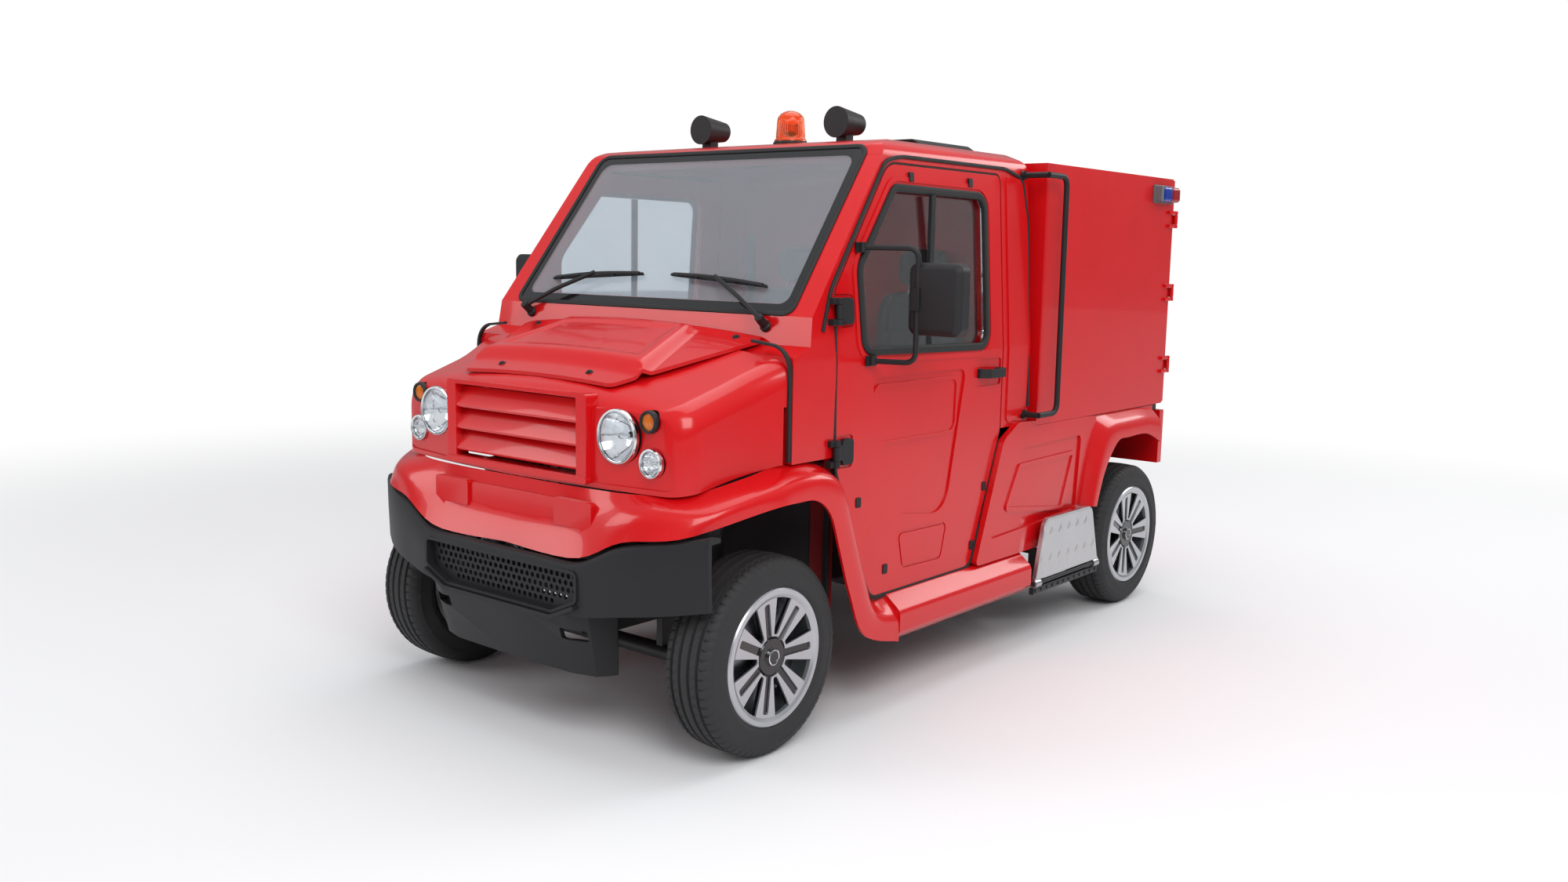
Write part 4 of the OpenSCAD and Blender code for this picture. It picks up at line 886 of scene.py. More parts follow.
# Smooth curve through key points at t, where t counts keys: a cubic through each four neighbours.
def spline(keys, t):
    keys, t = np.asarray(keys, float), np.asarray(t, float)
    i = np.minimum(len(keys) - 2, np.floor(t).astype(int))
    share = (t - i)[:, None]
    p0, p1, p2, p3 = keys[np.maximum(0, i - 1)], keys[i], keys[i + 1], keys[np.minimum(len(keys) - 1, i + 2)]
    return 0.5 * (2 * p1 + (p2 - p0) * share + (2 * p0 - 5 * p1 + 4 * p2 - p3) * share ** 2
                  + (3 * p1 - p0 - 3 * p2 + p3) * share ** 3)


def bulge(root, crest, lip, share):  # cubic from root to lip that leans on the crest twice
    share = share[None, :, None]
    root, crest, lip = root[:, None], crest[:, None], lip[:, None]
    return (1 - share) ** 3 * root + 3 * (1 - share) * share * crest + share ** 3 * lip


# valance from the middle round both front wheels to the sills: key points of its root, crest and lip
valance = {"steps": 61, "around": 11, "wall": 8,
           "root": [(0, -310, 736), (260, -308, 736), (470, -274, 736), (590, -190, 746), (636, -60, 772),
                    (650, 80, 796), (666, 200, 790), (674, 285, 748), (676, 345, 628), (678, 415, 480),
                    (680, 475, 346), (684, 565, 335)],
           "crest": [(0, -318, 640), (260, -322, 640), (520, -330, 700), (670, -235, 706), (732, -90, 745),
                     (742, 60, 772), (742, 185, 768), (742, 275, 720), (742, 330, 600), (742, 390, 440),
                     (742, 450, 320), (742, 565, 285)],
           "lip": [(0, -352, 552), (300, -360, 552), (470, -345, 618), (640, -285, 645), (736, -60, 700),
                   (742, 50, 706), (742, 140, 700), (742, 205, 650), (742, 250, 540), (742, 300, 410),
                   (742, 380, 265), (738, 565, 206)]}
t = np.linspace(0, 11, valance["steps"])
root, crest, lip = (spline(valance[k], t) for k in ("root", "crest", "lip"))
ahead = spline(valance["crest"], np.minimum(11, t + 0.05)) - spline(valance["crest"], np.maximum(0, t - 0.05))
inward = np.stack([-ahead[:, 1], ahead[:, 0], 0 * t],
                  -1) / np.linalg.norm(ahead[:, :2], axis=1, keepdims=True) * valance["wall"]
down = np.array((0, 0, -valance["wall"]))
share = np.linspace(0, 1, valance["around"])
rings = np.concatenate([bulge(root, crest, lip, share[::-1]),
                        bulge(root + down, crest + inward + down, lip + inward, share)], 1)
rings = np.concatenate([(rings * (-1, 1, 1))[:0:-1], rings])
plateBlocks = bothSides(frontForm(noseFront - 22, noseFront + 22, panelOutline(189, 340, 627, 702, 8)))
plateField = frontForm(noseFront - 13, noseFront + 19, outline(bothHalves([(191, 696, 4), (191, 634, 4)])))
addForm("frontValance", joined(loftForm(rings), plateBlocks, plateField), "front_valance", 3, sharp=32)

# bumper: skin, chin, mesh in its rim, tow slots
bumper = {"face": -385, "wall": 12, "steps": 41, "meshTop": 514, "meshFoot": 400, "pitch": 23, "hole": 8,
          "margin": 14,
          "keys": [(0, -385, 545, 392), (170, -383, 545, 392), (325, -377, 546, 396), (450, -357, 601, 414),
                   (545, -333, 622, 428), (625, -299, 634, 440), (700, -257, 652, 452)]}
key = spline(bumper["keys"], np.linspace(0, 6, bumper["steps"]))
across, s, top, low = (key[:, i:i + 1] for i in range(4))
middle, w = (top + low) / 2, bumper["wall"]
ring = [(s + 46, top - 20), (s + w, top - 22), (s + w, middle), (s + 5 + w, low), (s + 5, low),
        (s + 1, middle), (s, top - 18), (s + 4, top - 5), (s + 14, top), (s + 46, top - 8)]
skin = np.stack([np.hstack([across + 0 * station, station, height]) for station, height in ring], 1)
skin = np.concatenate([(skin * (-1, 1, 1))[:0:-1], skin])
chinTop, chinFoot = (np.array(line, float) for line in ([(0, -382), (290, -377), (345, -349), (372, -265)],
                                                  [(0, -329), (252, -323), (330, -301), (362, -253)]))
chin = []
for z in (406, 300, 213):
    line = chinTop + (chinFoot - chinTop) * (406 - z) / 193
    outer = np.vstack([line[:0:-1] * (-1, 1), line])
    inner = outer[::-1] * (1 - w / 360, 1) + (0, w * 1.2)
    chin.append(np.column_stack([np.vstack([outer, inner]), np.full(2 * len(outer), z)]))
meshCorners = bothHalves([(325, 514, 12), (325, 442, 12), (230, 400, 12)])
row, col = np.meshgrid(np.arange(5), np.arange(-13, 14), indexing="ij")
holeX = (col + row % 2 / 2) * bumper["pitch"]
holeZ = bumper["meshTop"] - bumper["margin"] - 3 - row * bumper["pitch"] * math.sqrt(3) / 2
inside = (abs(holeX) < 305) & (holeZ > bumper["meshFoot"] + bumper["margin"]
                               + np.maximum(0, (abs(holeX) - 215) * 0.45))
turn = np.radians(np.arange(6) * 60 + 30)
hexagon = bumper["hole"] * np.stack([np.cos(turn), np.sin(turn)], -1)
face = bumper["face"]
holes = together(*[frontForm(face + 20, face + 50, (hexagon + place) / 1000)
                   for place in np.stack([holeX[inside], holeZ[inside]], -1)])
meshLoop = outline(meshCorners)
grid = carved(frontForm(face + 30, face + 37, outline(meshCorners, 3)), cut(holes))
rim = carved(frontForm(face + 4, face + 36, outline(meshCorners, 9)),
             cut(frontForm(face - 5, face + 60, meshLoop)))
rib = frontForm(face - 5, face + 12,
                outline([(330, 430, 3), (233, 389, 12), (-233, 389, 12), (-330, 430, 3), (-330, 418, 3),
                         (-236, 378, 12),
                                             (236, 378, 12), (330, 418, 3)]))
slots = bothSides(frontForm(face - 20, face + 90, panelOutline(244, 332, 318, 350, 6)))
skinForms = carved(loftForm(skin), add(loftForm(np.array(chin), strips=True)),
                   cut(frontForm(face - 20, face + 60, meshLoop)), cut(slots), add(rim), add(rib))
addForm("frontBumper", skinForms, "front_bumper", 2)
addForm("bumperMesh", grid, "front_bumper", 0, replace=False)
print("valance and bumper made")

# sides below the doors: sill, quarter panel with its pressings, flare over the rear wheel, liner behind the
# front one
quarter = [(doorRear - 161, 346, 16), (doorRear - 4, beltLine - 312, 60), (doorRear + 96, 812, 50),
           (1920, 786, 30), (1858, 346, 12)]
quarterIn = [(doorRear - 100, 424, 26), (doorRear + 70, beltLine - 402, 50), (doorRear + 136, 718, 40),
             (1795, 724, 22), (1770, 446, 20)]
quarterPad = [(doorRear + 24, 507, 16), (doorRear + 116, beltLine - 406, 22), (1760, beltLine - 400, 16),
              (1670, 455, 16)]
flare = {"steps": 49, "around": 10, "wall": 10,
         "root": [(692, -430, -338), (692, -394, -190), (692, -358, -54), (692, -300, -8), (692, -110, -4),
                  (692, 72, -4), (692, 195, -15)],
         "crest": [(742, -396, -339), (742, -354, -200), (742, -305, -98), (742, -240, -53), (742, -110, -48),
                   (742, 72, -48), (742, 195, -62)],
         "lip": [(742, -359, -344), (742, -313, -234), (742, -254, -154), (742, -190, -106),
                 (742, -110, -102), (742, 60, -104), (742, 195, -150)]}
t = np.linspace(0, 6, flare["steps"])
start = np.array((0, body["wheelbase"], body["boxFloor"]))
root, crest, lip = (start + spline(flare[k], t) for k in ("root", "crest", "lip"))
drop = (lip - root) * (0, 1, 1)
drop *= flare["wall"] / np.linalg.norm(drop, axis=1, keepdims=True)
inward = np.array((-flare["wall"], 0, 0))
share = np.linspace(0, 1, flare["around"])
rings = np.concatenate([bulge(root, crest, lip, share[::-1]),
                        bulge(root + drop, crest + inward + drop / 2, lip + inward, share)], 1)
skinSide = body["halfCab"]
quarterForm = carved(sideForm(skinSide, skinSide + 22, outline(quarter)),
                     cut(carved(sideForm(skinSide + 14, skinSide + 40, outline(quarterIn)), cut(carved(
                         sideForm(skinSide + 10, skinSide + 20, outline(quarterPad)),
                         cut(sideForm(skinSide, skinSide + 30, outline(quarterPad, -16))))))),
                     add(sideForm(skinSide, skinSide + 14,
                                  np.array([(1880, 730), (2435, 730), (2435, 786), (1880, 786)]) / 1000)),
                     add(loftForm(rings)),
                     add(frontForm(2411, 2421,
                                   outline([(680, 646, 4), (737, 646, 4), (737, 700, 24), (698, 766, 10),
                                            (680, 770, 0)]))),
                     cut(boxForm(0, body["halfWidth"], body["boxFront"] - 3, body["rear"], 789.7, 890)))
sillForm = frontForm(565, 1380,
                     outline([(630, 215, 5), (712, 206, 8), (742, 232, 20), (742, 300, 30), (688, 344, 6),
                              (630, 344, 5)]))
liner = planForm(256, 768, np.array([(560.3, 338), (632, 346), (632, 359.5), (560.3, 359.5)]) / 1000)
addForm("sideSkirts", bothSides(together(sillForm, quarterForm)), "side_skirts", 3)
addForm("archLiners", bothSides(liner), "side_skirts", 2, "darkRed", replace=False)
addForm("archStrips", bothSides(boxForm(614, 632, 334, 348, 256, 708)), "side_skirts", 2, "blackRubber",
        replace=False)
print("sides made")

# doors: skin with the window cut, sunk shield with raised pads in it, pockets for hinges and handle
pressing = {"depth": 6, "shallow": 4.2, "band": 4,
            "shield": [(doorFront + 168, beltLine - 56, 28), (doorFront + 696, beltLine - 55, 28),
                       (doorFront + 596, sill + 199, 90), (doorFront + 316, sill + 239, 70)],
            "upper": [(doorFront + 190, beltLine - 85, 22), (doorFront + 640, beltLine - 85, 22),
                      (doorFront + 635, beltLine - 250, 30), (doorFront + 205, beltLine - 250, 30)],
            "lower": [(doorFront + 335, sill + 171, 14), (doorFront + 600, sill + 165, 14),
                      (doorFront + 572, sill + 61, 14), (doorFront + 360, sill + 67, 14)],
            "handle": [(doorRear - 165, beltLine - 30, 12), (doorRear - 8, beltLine - 30, 12),
                       (doorRear - 8, beltLine - 120, 12), (doorRear - 165, beltLine - 120, 12)],
            "plugs": [(doorFront + 262, 424), (doorRear - 160, 418), (doorFront + 115, 650),
                      (doorRear - 92, 610)]}
sunk = skinForm(pressing["depth"], 20)
shallow = skinForm(pressing["shallow"], 20)
shield = carved(sideForm(skinSide - 100, skinSide + 40, outline(pressing["shield"])),
                cut(sideForm(skinSide - 200, skinSide + 60, outline(pressing["upper"], 9))), keep(sunk))
pockets = [sideForm(skinSide - 100, skinSide + 40, outline(pressing["upper"])),
           sideForm(skinSide - 100, skinSide + 40, outline(pressing["handle"])),
           carved(sideForm(skinSide - 100, skinSide + 40, outline(pressing["lower"], 7)),
                  cut(sideForm(skinSide - 200, skinSide + 60, outline(pressing["lower"]))))]
pockets += [sideForm(skinSide - 100, skinSide + 40,
                     panelOutline(doorFront - 70, doorFront + 82, z + 48, z - 48, 14))
            for z in hinge["heights"]]
band = carved(sideForm(skinSide - 100, skinSide + 20, outline(windowCorners, 34)),
              cut(sideForm(skinSide - 200, skinSide + 60, outline(windowCorners, 20))),
              keep(skinForm(4, pressing["band"])))
door = carved(sideForm(skinSide - 150, skinSide + 20, outline(doorCorners)), keep(skinForm(body["wall"], 0)),
              cut(sideForm(skinSide - 250, skinSide + 60, outline(windowCorners))), cut(shield),
              cut(carved(together(*pockets), keep(shallow))), add(band))
fittings = []
for z in hinge["heights"]:
    leaf = carved(sideForm(skinSide - 60, skinSide + 60,
                           outline([(doorFront + 1, z - 22, 0), (doorFront + 1, z + 22, 0),
                                    (doorFront + 20, z + 22, 0), (doorFront + 26, z + 38, 8),
                                                    (doorFront + 74, z + 38, 14),
                                                    (doorFront + 74, z - 38, 14), (doorFront + 26, z - 38, 8),
                                                    (doorFront + 20, z - 22, 0)])),
                  keep(skinForm(pressing["shallow"] + 0.5, 10)))
    skin = skinX((z + 20) / 1000) * 1000
    fittings.append(carved(upright(hinge["x"], hinge["s"], z - 20, z + 20, hinge["radius"]),
                           add(boxForm(hinge["x"] - 8, hinge["x"] + 3, doorFront - 14, doorFront + 8, z - 20,
                                       z + 20)),
                           add(boxForm(skin - 2, hinge["x"] + 3, doorFront + 2, doorFront + 8, z - 20,
                                       z + 20)), add(leaf),
                           cut(upright(hinge["x"], hinge["s"], z - 40, z + 40, hinge["pin"] + 0.3))))
handle = planForm(beltLine - 92, beltLine - 62,
                  outline([(skinSide - 6, doorRear - 152, 0), (skinSide + 8, doorRear - 152, 4),
                           (skinSide + 34, doorRear - 128, 14), (skinSide + 34, doorRear - 26, 14),
                                           (skinSide + 8, doorRear - 12, 4), (skinSide - 6, doorRear - 12, 0),
                                           (skinSide - 6, doorRear - 38, 2),
                                           (skinSide + 12, doorRear - 42, 8),
                                           (skinSide + 24, doorRear - 52, 8),
                                           (skinSide + 24, doorRear - 118, 8),
                                           (skinSide + 6, doorRear - 128, 4),
                                           (skinSide - 6, doorRear - 128, 2)]))
plugs = [sideForm(skinSide - 8, skinSide + 3, panelOutline(s - 12, s + 12, z - 15, z + 15, 5))
         for s, z in pressing["plugs"]]
clips = [carved(sideForm(skinSide - 100, skinSide + 20, panelOutline(s - 11, s + 11, 1596, 1624, 3)),
                keep(skinForm(0, 8))) for s in (690, 1030)]
for sideName, side in sides.items():
    turn = mirrored if side < 0 else tuple
    addForm(f"{sideName}DoorSkin", turn(door), f"door_{sideName}", 2.5)
    addForm(f"{sideName}DoorFittings", turn(together(*fittings, handle, *plugs, *clips)), f"door_{sideName}",
            2, "blackPlastic", replace=False)
print("doors made")

# mirrors: bent tube on two clamps, and a head thicker at its middle than at its rim
mirror = {"x": 820, "s": 485, "tube": 8, "feet": ((452, 1068), (418, 1396)), "bend": 34}
legs = []
for s, z in mirror["feet"]:
    skin = skinX(z / 1000) * 1000
    legs += [carved(joined(boxForm(skin - 5, skin + 10, s - 24, s + 24, z - 15, z + 15),
                           upright(skin + 14, s, z - 13, z + 13, 11)),
                    cut(skinForm(60, 4)))]
(s0, z0), (s1, z1) = mirror["feet"]
x0, x1 = (skinX(z / 1000) * 1000 + 14 for z in (z0, z1))
path = bentPath(np.array([(x0, s0, z0), (mirror["x"], mirror["s"], z0), (mirror["x"], mirror["s"], z1),
                          (x1, s1, z1)]) / 1000
                + (0, frontAxleY, 0), mirror["bend"] / 1000, 10)
head = []
for s, inset in ((537, 6), (533, 0), (495, 0), (487, 7), (481, 17)):
    m0, m1, k = mirror["x"] - 35 + inset, mirror["x"] + 145 - inset, max(6, 28 - inset)
    loop = outline([(m0, z0 + 80 + inset, k), (m1, z0 + 80 + inset, k), (m1, z0 + 287 - inset, k),
                    (m0, z0 + 287 - inset, k)]) * 1000
    head.append(np.column_stack([loop[:, 0], np.full(len(loop), s), loop[:, 1]]))
clamp = boxForm(mirror["x"] - 16, mirror["x"] + 12, mirror["s"] - 12, mirror["s"] + 4, z0 + 150, z0 + 215)
for sideName, side in sides.items():
    turn = mirrored if side < 0 else tuple
    addForm(f"{sideName}MirrorHead", turn(together(loftForm(head), clamp)), f"mirror_{sideName}", 2)
    addForm(f"{sideName}MirrorArm", turn(together(tube(path, mirror["tube"] / 1000, (0.3, 1, 0), 20), *legs)),
            f"mirror_{sideName}", 0, replace=False)

# grab rails bent towards the cab, and the roof hatch
grab = {"x": 742, "radius": 10, "stations": (1377, 1511), "heights": (834, 1653), "bend": 40}
(s0, s1), (z0, z1), x = grab["stations"], grab["heights"], grab["x"]
path = bentPath(np.array([(x, s0, z0), (x, s1, z0), (x, s1, z1), (x, s0, z1)]) / 1000 + (0, frontAxleY, 0),
                grab["bend"] / 1000, 10)
posts = []
for z in (z0, z1):
    skin = skinX(z / 1000) * 1000
    for reach, radius in ((x, grab["radius"]), (skin + 13, grab["radius"] * 1.6)):
        profile = np.array([(0, skin + 2), (radius, skin + 2), (radius, reach), (0, reach)]) / 1000
        posts.append(turned(profile, (0, frontAxleY + s0 / 1000, z / 1000), "x", 20))
addForm("grabRails", bothSides(together(tube(path, grab["radius"] / 1000, (1, 0, 0), 20), *posts)),
        "grab_rails", 0, "blackPlastic", sharp=50)
hatch = frontForm(1000, 1345,
                  outline([(225, 1705, 0), (466, 1705, 0), (466, 1739, 8), (440, 1755, 20), (250, 1755, 20),
                           (225, 1739, 8)]))
addForm("roofHatch", carved(hatch, cut(cabForm(0.3))), "roof_hatch", 5, steps=3)
print("mirrors, rails and hatch made")

# glass and seals
def screenOutline(inset, away):
    corners = [(screen["footHalf"] - inset, 0.010 + inset), (screen["topHalf"] - inset, 0.6206 - inset),
               (inset - screen["topHalf"], 0.6206 - inset), (inset - screen["footHalf"], 0.010 + inset)]
    flat = rounded(corners, [0.03, 0.04, 0.04, 0.03])
    return onScreen(np.column_stack([flat, np.full(len(flat), away)]))


# a flat ring between two loops of the same number of points
def ringBetween(outer, inner):
    return weave(np.stack([outer, inner]), closeColumns=True)


def stripProfile(width, height):  # rounded strip lying on its path
    return rounded([(-width / 2, -height), (width / 2, -height), (width / 2, height * 0.75),
                    (width / 4, height), (-width / 4, height),
                    (-width / 2, height * 0.75)], height * 0.15, 3)


build("screenBorder", [ringBetween(screenOutline(0.002, 0.0004), screenOutline(screen["border"], 0.0004))],
      "chassis", "glossBlack")
build("screenSeal", [swept(screenOutline(-0.004, 0), stripProfile(screen["sealWidth"], screen["sealHeight"]),
                           screenOut, True)],
      "chassis", "blackRubber")

for sideName, side in sides.items():
    flat = rounded(window["corners"], window["radii"])
    edge = onSkin(flat, 0, side)
    profile = stripProfile(window["sealWidth"], window["sealHeight"])
    build(f"{sideName}WindowSeal", [swept(edge, profile, (side, 0, 0), True)], f"door_{sideName}",
          "blackRubber")
    x, y = side * window["barX"], frontAxleY + window["barStation"]
    bar = block((x - 0.006, y - 0.011, 1.10), (x + 0.006, y + 0.011, 1.56))  # sliding pane's upright
    build(f"{sideName}WindowBar", [bar], f"door_{sideName}", "blackPlastic")

# rubber round each door: a strip sunk in the gap, and a fuller one down its front edge and under it
doorEdge = {"corners": [(0.300, 1.275), (0.300, 0.763), (0.490, 0.350), (1.055, 0.350), (1.225, 0.790),
                        (1.225, 1.643), (0.577, 1.643)],
            "radii": [0.060, 0.060, 0.035, 0.045, 0.060, 0.025, 0.075], "gap": 0.0035,
            "fuller": [(0.2945, 1.172), (0.2945, 0.765), (0.486, 0.3445), (1.060, 0.3445), (1.115, 0.480)],
            "half": 0.0055}


# A closed outline moved outwards by a distance along its normals.
def grown(edgeLine, distance):
    ahead = np.roll(edgeLine, -1, 0) - np.roll(edgeLine, 1, 0)
    ahead /= np.linalg.norm(ahead, axis=1, keepdims=True)
    turn = np.sign((edgeLine[:, 0] * np.roll(edgeLine[:, 1], -1) - edgeLine[:, 1]
                    * np.roll(edgeLine[:, 0], -1)).sum())
    return edgeLine + distance * turn * np.stack([ahead[:, 1], -ahead[:, 0]], -1)


for sideName, side in sides.items():
    edgeLine = grown(rounded(doorEdge["corners"], doorEdge["radii"], 10), doorEdge["gap"])
    sunk = [(-0.0032, -0.016), (0.0032, -0.016), (0.0032, -0.0025), (0.0, -0.0015), (-0.0032, -0.0025)]
    strips = [swept(onSkin(edgeLine, 0, side), sunk, (side, 0, 0), True)]
    flat = bentPath([(s, z, 0) for s, z in doorEdge["fuller"]], 0.04, 8)[:, :2]
    half = doorEdge["half"]
    strips.append(swept(onSkin(flat, 0.0005, side),
                        rounded([(-half, -0.006), (half, -0.006), (half, 0.003), (-half, 0.003)],
                                                            0.0025, 4), (side, 0, 0)))
    build(f"{sideName}DoorSeal", strips, "chassis", "blackRubber")

# rubber strips: gutter from the screen pillar over the door and down the back of the cab, and the nose joint
gutter = {"path": [(0.232, 1.16), (0.2735, 1.275), (0.476, 1.542), (0.560, 1.652), (0.640, 1.668),
                   (1.260, 1.668), (1.372, 1.640), (1.405, 1.500),
                   (1.407, 0.860)], "width": 0.011, "height": 0.007,
                   "reach": 0.03}
noseSeal = {"station": 0.094, "width": 0.014, "height": 0.004}
for sideName, side in sides.items():
    flat = bentPath([(s, z, 0) for s, z in gutter["path"]], gutter["reach"])[:, :2]
    build(f"{sideName}Gutter",
          [swept(onSkin(flat, 0.001, side), stripProfile(gutter["width"], gutter["height"]),
                                      (side, 0, 0))], "chassis", "blackRubber")
    turn = np.linspace(0, np.pi / 2, 9)
    shoulder = np.stack([0.604 + 0.070 * np.cos(turn), 1.0555 + 0.070 * np.sin(turn)], -1)
    line = np.vstack([[(0.674, 0.805)], shoulder, [(0.535, 1.133)]])
    path = np.stack([side * line[:, 0], np.full(len(line), frontAxleY + noseSeal["station"]), line[:, 1]], -1)
    out = np.gradient(path, axis=0)[:, [2, 1, 0]] * (side, 0, -side)
    build(f"{sideName}NoseSeal", [swept(path, stripProfile(noseSeal["width"], noseSeal["height"]), out)],
          "chassis", "blackRubber")
print("glass and seals made")

# lamps
lampForm = {"rim": 0.006, "dome": 0.010, "bowlDepth": 0.045, "flutes": 26, "fluteDepth": 0.0006}


# Lens: a shallow dome whose face carries upright flutes, a sine of the distance across it. It has a back
# face, so that it bends light as a pane does.
def lensShape(centre, radius, dome, flutes, depth, thickness=0.003):
    r, angle = np.meshgrid(np.linspace(0.02, 1, 26), np.linspace(0, 2 * np.pi, 73)[:-1], indexing="ij")
    x, z = radius * r * np.cos(angle), radius * r * np.sin(angle)
    ripple = depth * np.cos(x / radius * np.pi * flutes) * (r < 0.97)
    front = np.stack([x, -dome * (1 - r ** 2) - ripple, z], -1) + centre
    rear = np.stack([x, thickness - dome * (1 - r ** 2) * 0.9, z], -1) + centre
    points, faces = weave(np.vstack([front, rear[::-1]]), closeColumns=True)
    return points, faces + [list(range(72)), list(range(len(points) - 72, len(points)))]


def addRoundLamp(name, x, z, radius, station, lens, body="chassis", bowl=True):
    y = frontAxleY + station - 0.004
    rim = lampForm["rim"]
    bezel = rounded([(radius - rim, -0.003), (radius, -0.004), (radius + 0.002, 0.002),
                     (radius + 0.002, 0.012), (radius - rim, 0.012)], 0.0012, 4)
    build(name + "Bezel", [turned(bezel, (x, y, z), "y")], body, "chrome" if bowl else "blackPlastic")
    build(name + "Lens", [lensShape((x, y + 0.002, z), radius - rim + 0.001,
                                    lampForm["dome"] * radius / 0.073, lampForm["flutes"] if bowl else 9,
                                    lampForm["fluteDepth"])], body, lens)
    reach = np.linspace(0, 1, 14)
    depth = lampForm["bowlDepth"] * radius / 0.073
    inner = np.stack([(radius - rim) * (0.14 + 0.86 * np.sqrt(reach)), depth * (1 - reach) + 0.008], -1)
    profile = np.vstack([inner, inner[::-1] + (0.0015, 0.0015)])
    bowlPiece = build(name + "Bowl", [turned(profile, (x, y, z), "y")], body, "chrome")
    bulb = [(0.0, 0.012), (0.006, 0.014), (0.009, 0.020), (0.009, 0.034), (0.006, 0.044), (0.0, 0.046)]
    build(name + "Bulb", [turned(np.array(bulb) * (radius / 0.073) + (1e-6, 0), (x, y, z), "y", 24)], body,
          "clearLens" if bowl else lens)
    return bowlPiece


for sideName, side in sides.items():
    for kind, (x, z, radius, station) in frontLamps.items():
        lens, slot = ("amberLens", "lamp_amber") if kind == "amber" else ("clearLens", "lamp_clear")
        bowl = addRoundLamp(f"{sideName}{kind.title()}Lamp", side * x, z, radius, station, lens,
                            bowl=kind != "amber")
        if side == 1 and kind != "side":
            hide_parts("headlamps" if kind == "head" else "signal_lamps")
print("lamps made")

# bolts that hold the bonnet: (x, station)
bonnetBolts = {"places": ((0.190, -0.198), (0.430, 0.145)), "washer": 0.0115, "head": 0.0075}
washer = bonnetBolts["washer"]
boltProfile = [(0.0, -0.002), (washer, -0.002), (washer, 0.0012), (washer * 0.85, 0.0024),
               (bonnetBolts["head"], 0.0026), (bonnetBolts["head"], 0.0050),
               (bonnetBolts["head"] * 0.7, 0.0066), (0.0, 0.0070)]
for sideName, side in sides.items():
    heads = []
    for x, station in bonnetBolts["places"]:
        height = (bonnetTop(x * 1000, station * 1000) + scoop["skin"]
                  + scoopHeight(x * 1000, station * 1000)) / 1000
        normal = (side * 0.0002 * x * 1000, -noseLine["rise"], 1)  # slope of the crown and of the rise
        heads.append(turnedOn(boltProfile, (side * x, frontAxleY + station, height), normal, 20))
    build(f"{sideName}BonnetBolts", heads, "chassis", "blackPlastic")

# wipers: places are across the glass, up the slope and out of it
wiper = {"pivot": (0.508, -0.028, 0.020), "elbow": (0.395, 0.040, 0.028), "clip": (0.262, 0.111, 0.026),
         "bladeEnds": ((0.462, 0.094, 0.008), (0.062, 0.124, 0.008)), "armWidth": 0.013, "armHeight": 0.005}
wiperParts = []
for side in sides.values():
    flip = np.array((side, 1, 1))
    arm = bentPath([np.array(wiper[k]) * flip for k in ("pivot", "elbow", "clip")], 0.02, 6)
    flat = rounded([(-wiper["armWidth"] / 2, -wiper["armHeight"]),
                    (wiper["armWidth"] / 2, -wiper["armHeight"]),
                    (wiper["armWidth"] / 2, wiper["armHeight"]),
                    (-wiper["armWidth"] / 2, wiper["armHeight"])], 0.0025, 4)
    start, end = (np.array(p) * flip for p in wiper["bladeEnds"])
    wiperParts.append(swept(onScreen(arm), flat, screenOut))
    cap = [(0.0, 0.013), (0.008, 0.0125), (0.0125, 0.009), (0.0135, -0.026), (0.0175, -0.030),
           (0.0175, -0.040), (0.0, -0.040)]
    wiperParts.append(turnedOn(cap, onScreen([np.array(wiper["pivot"]) * flip])[0], screenOut, 28))
    rubber = np.array([(-0.0012, -0.0065), (0.0012, -0.0065), (0.0034, 0.0), (0.0034, 0.004),
                       (-0.0034, 0.004), (-0.0034, 0.0)])
    reach = np.linspace(0, 1, 24)[:, None]
    wiperParts.append(swept(onScreen(start + (end - start) * reach), rubber, screenOut))
    spine = start + (end - start) * (0.03 + 0.94 * reach) + (0, 0,
                                                             1) * (0.006 + 0.010 * np.sin(np.pi * reach))
    wiperParts.append(swept(onScreen(spine), flat * (0.75, 0.5), screenOut))
    for share in (0.1, 0.3, 0.7, 0.9):
        foot = start + (end - start) * share
        claw = foot + np.array([(0, 0, 0.002), (0, 0, 0.006 + 0.010 * math.sin(math.pi * share))])
        wiperParts.append(swept(onScreen(claw), flat * (0.9, 0.8), (1, 0, 0)))
piece = build("wiperSet", wiperParts, "chassis", "blackPlastic")
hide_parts("wipers")
print("bonnet bolts and wipers made")

# beacon: ribbed amber dome on a black foot, with a reflector inside
beacon = {"station": 0.905, "foot": 1.720, "base": 1.7535, "footRadius": 0.060, "wall": 0.0025, "ribs": 40,
          "ribDepth": 0.0007}
beaconPlace = np.array((0.0, frontAxleY + beacon["station"], beacon["base"]))
radius = beacon["footRadius"]
footProfile = [(0.0, beacon["foot"] - beacon["base"]), (radius, beacon["foot"] - beacon["base"]),
               (radius, -0.004), (radius - 0.003, 0.0), (radius - 0.006, 0.003), (0.0, 0.003)]
rise = np.radians(np.linspace(0, 84, 12))
outer = np.vstack([[(0.0560, 0.0005), (0.0563, 0.0050), (0.0520, 0.0095), (0.0505, 0.0120)],
                   np.column_stack([np.linspace(0.0500, 0.0465, 10), np.linspace(0.0150, 0.0700, 10)]),
                   np.column_stack([0.0462 * np.cos(rise), 0.0720 + 0.0335 * np.sin(rise)]),
                   [(0.0004, 0.1058)]])
inner = outer[::-1] * (1 - beacon["wall"] / 0.05, 1 - beacon["wall"] / 0.1)
points, faces = turned(np.vstack([outer, inner]), (0, 0, 0), "z", beacon["ribs"] * 6)
angle, height = np.arctan2(points[:, 1], points[:, 0]), points[:, 2]
ribbed = (height > 0.013) & (height < 0.074)
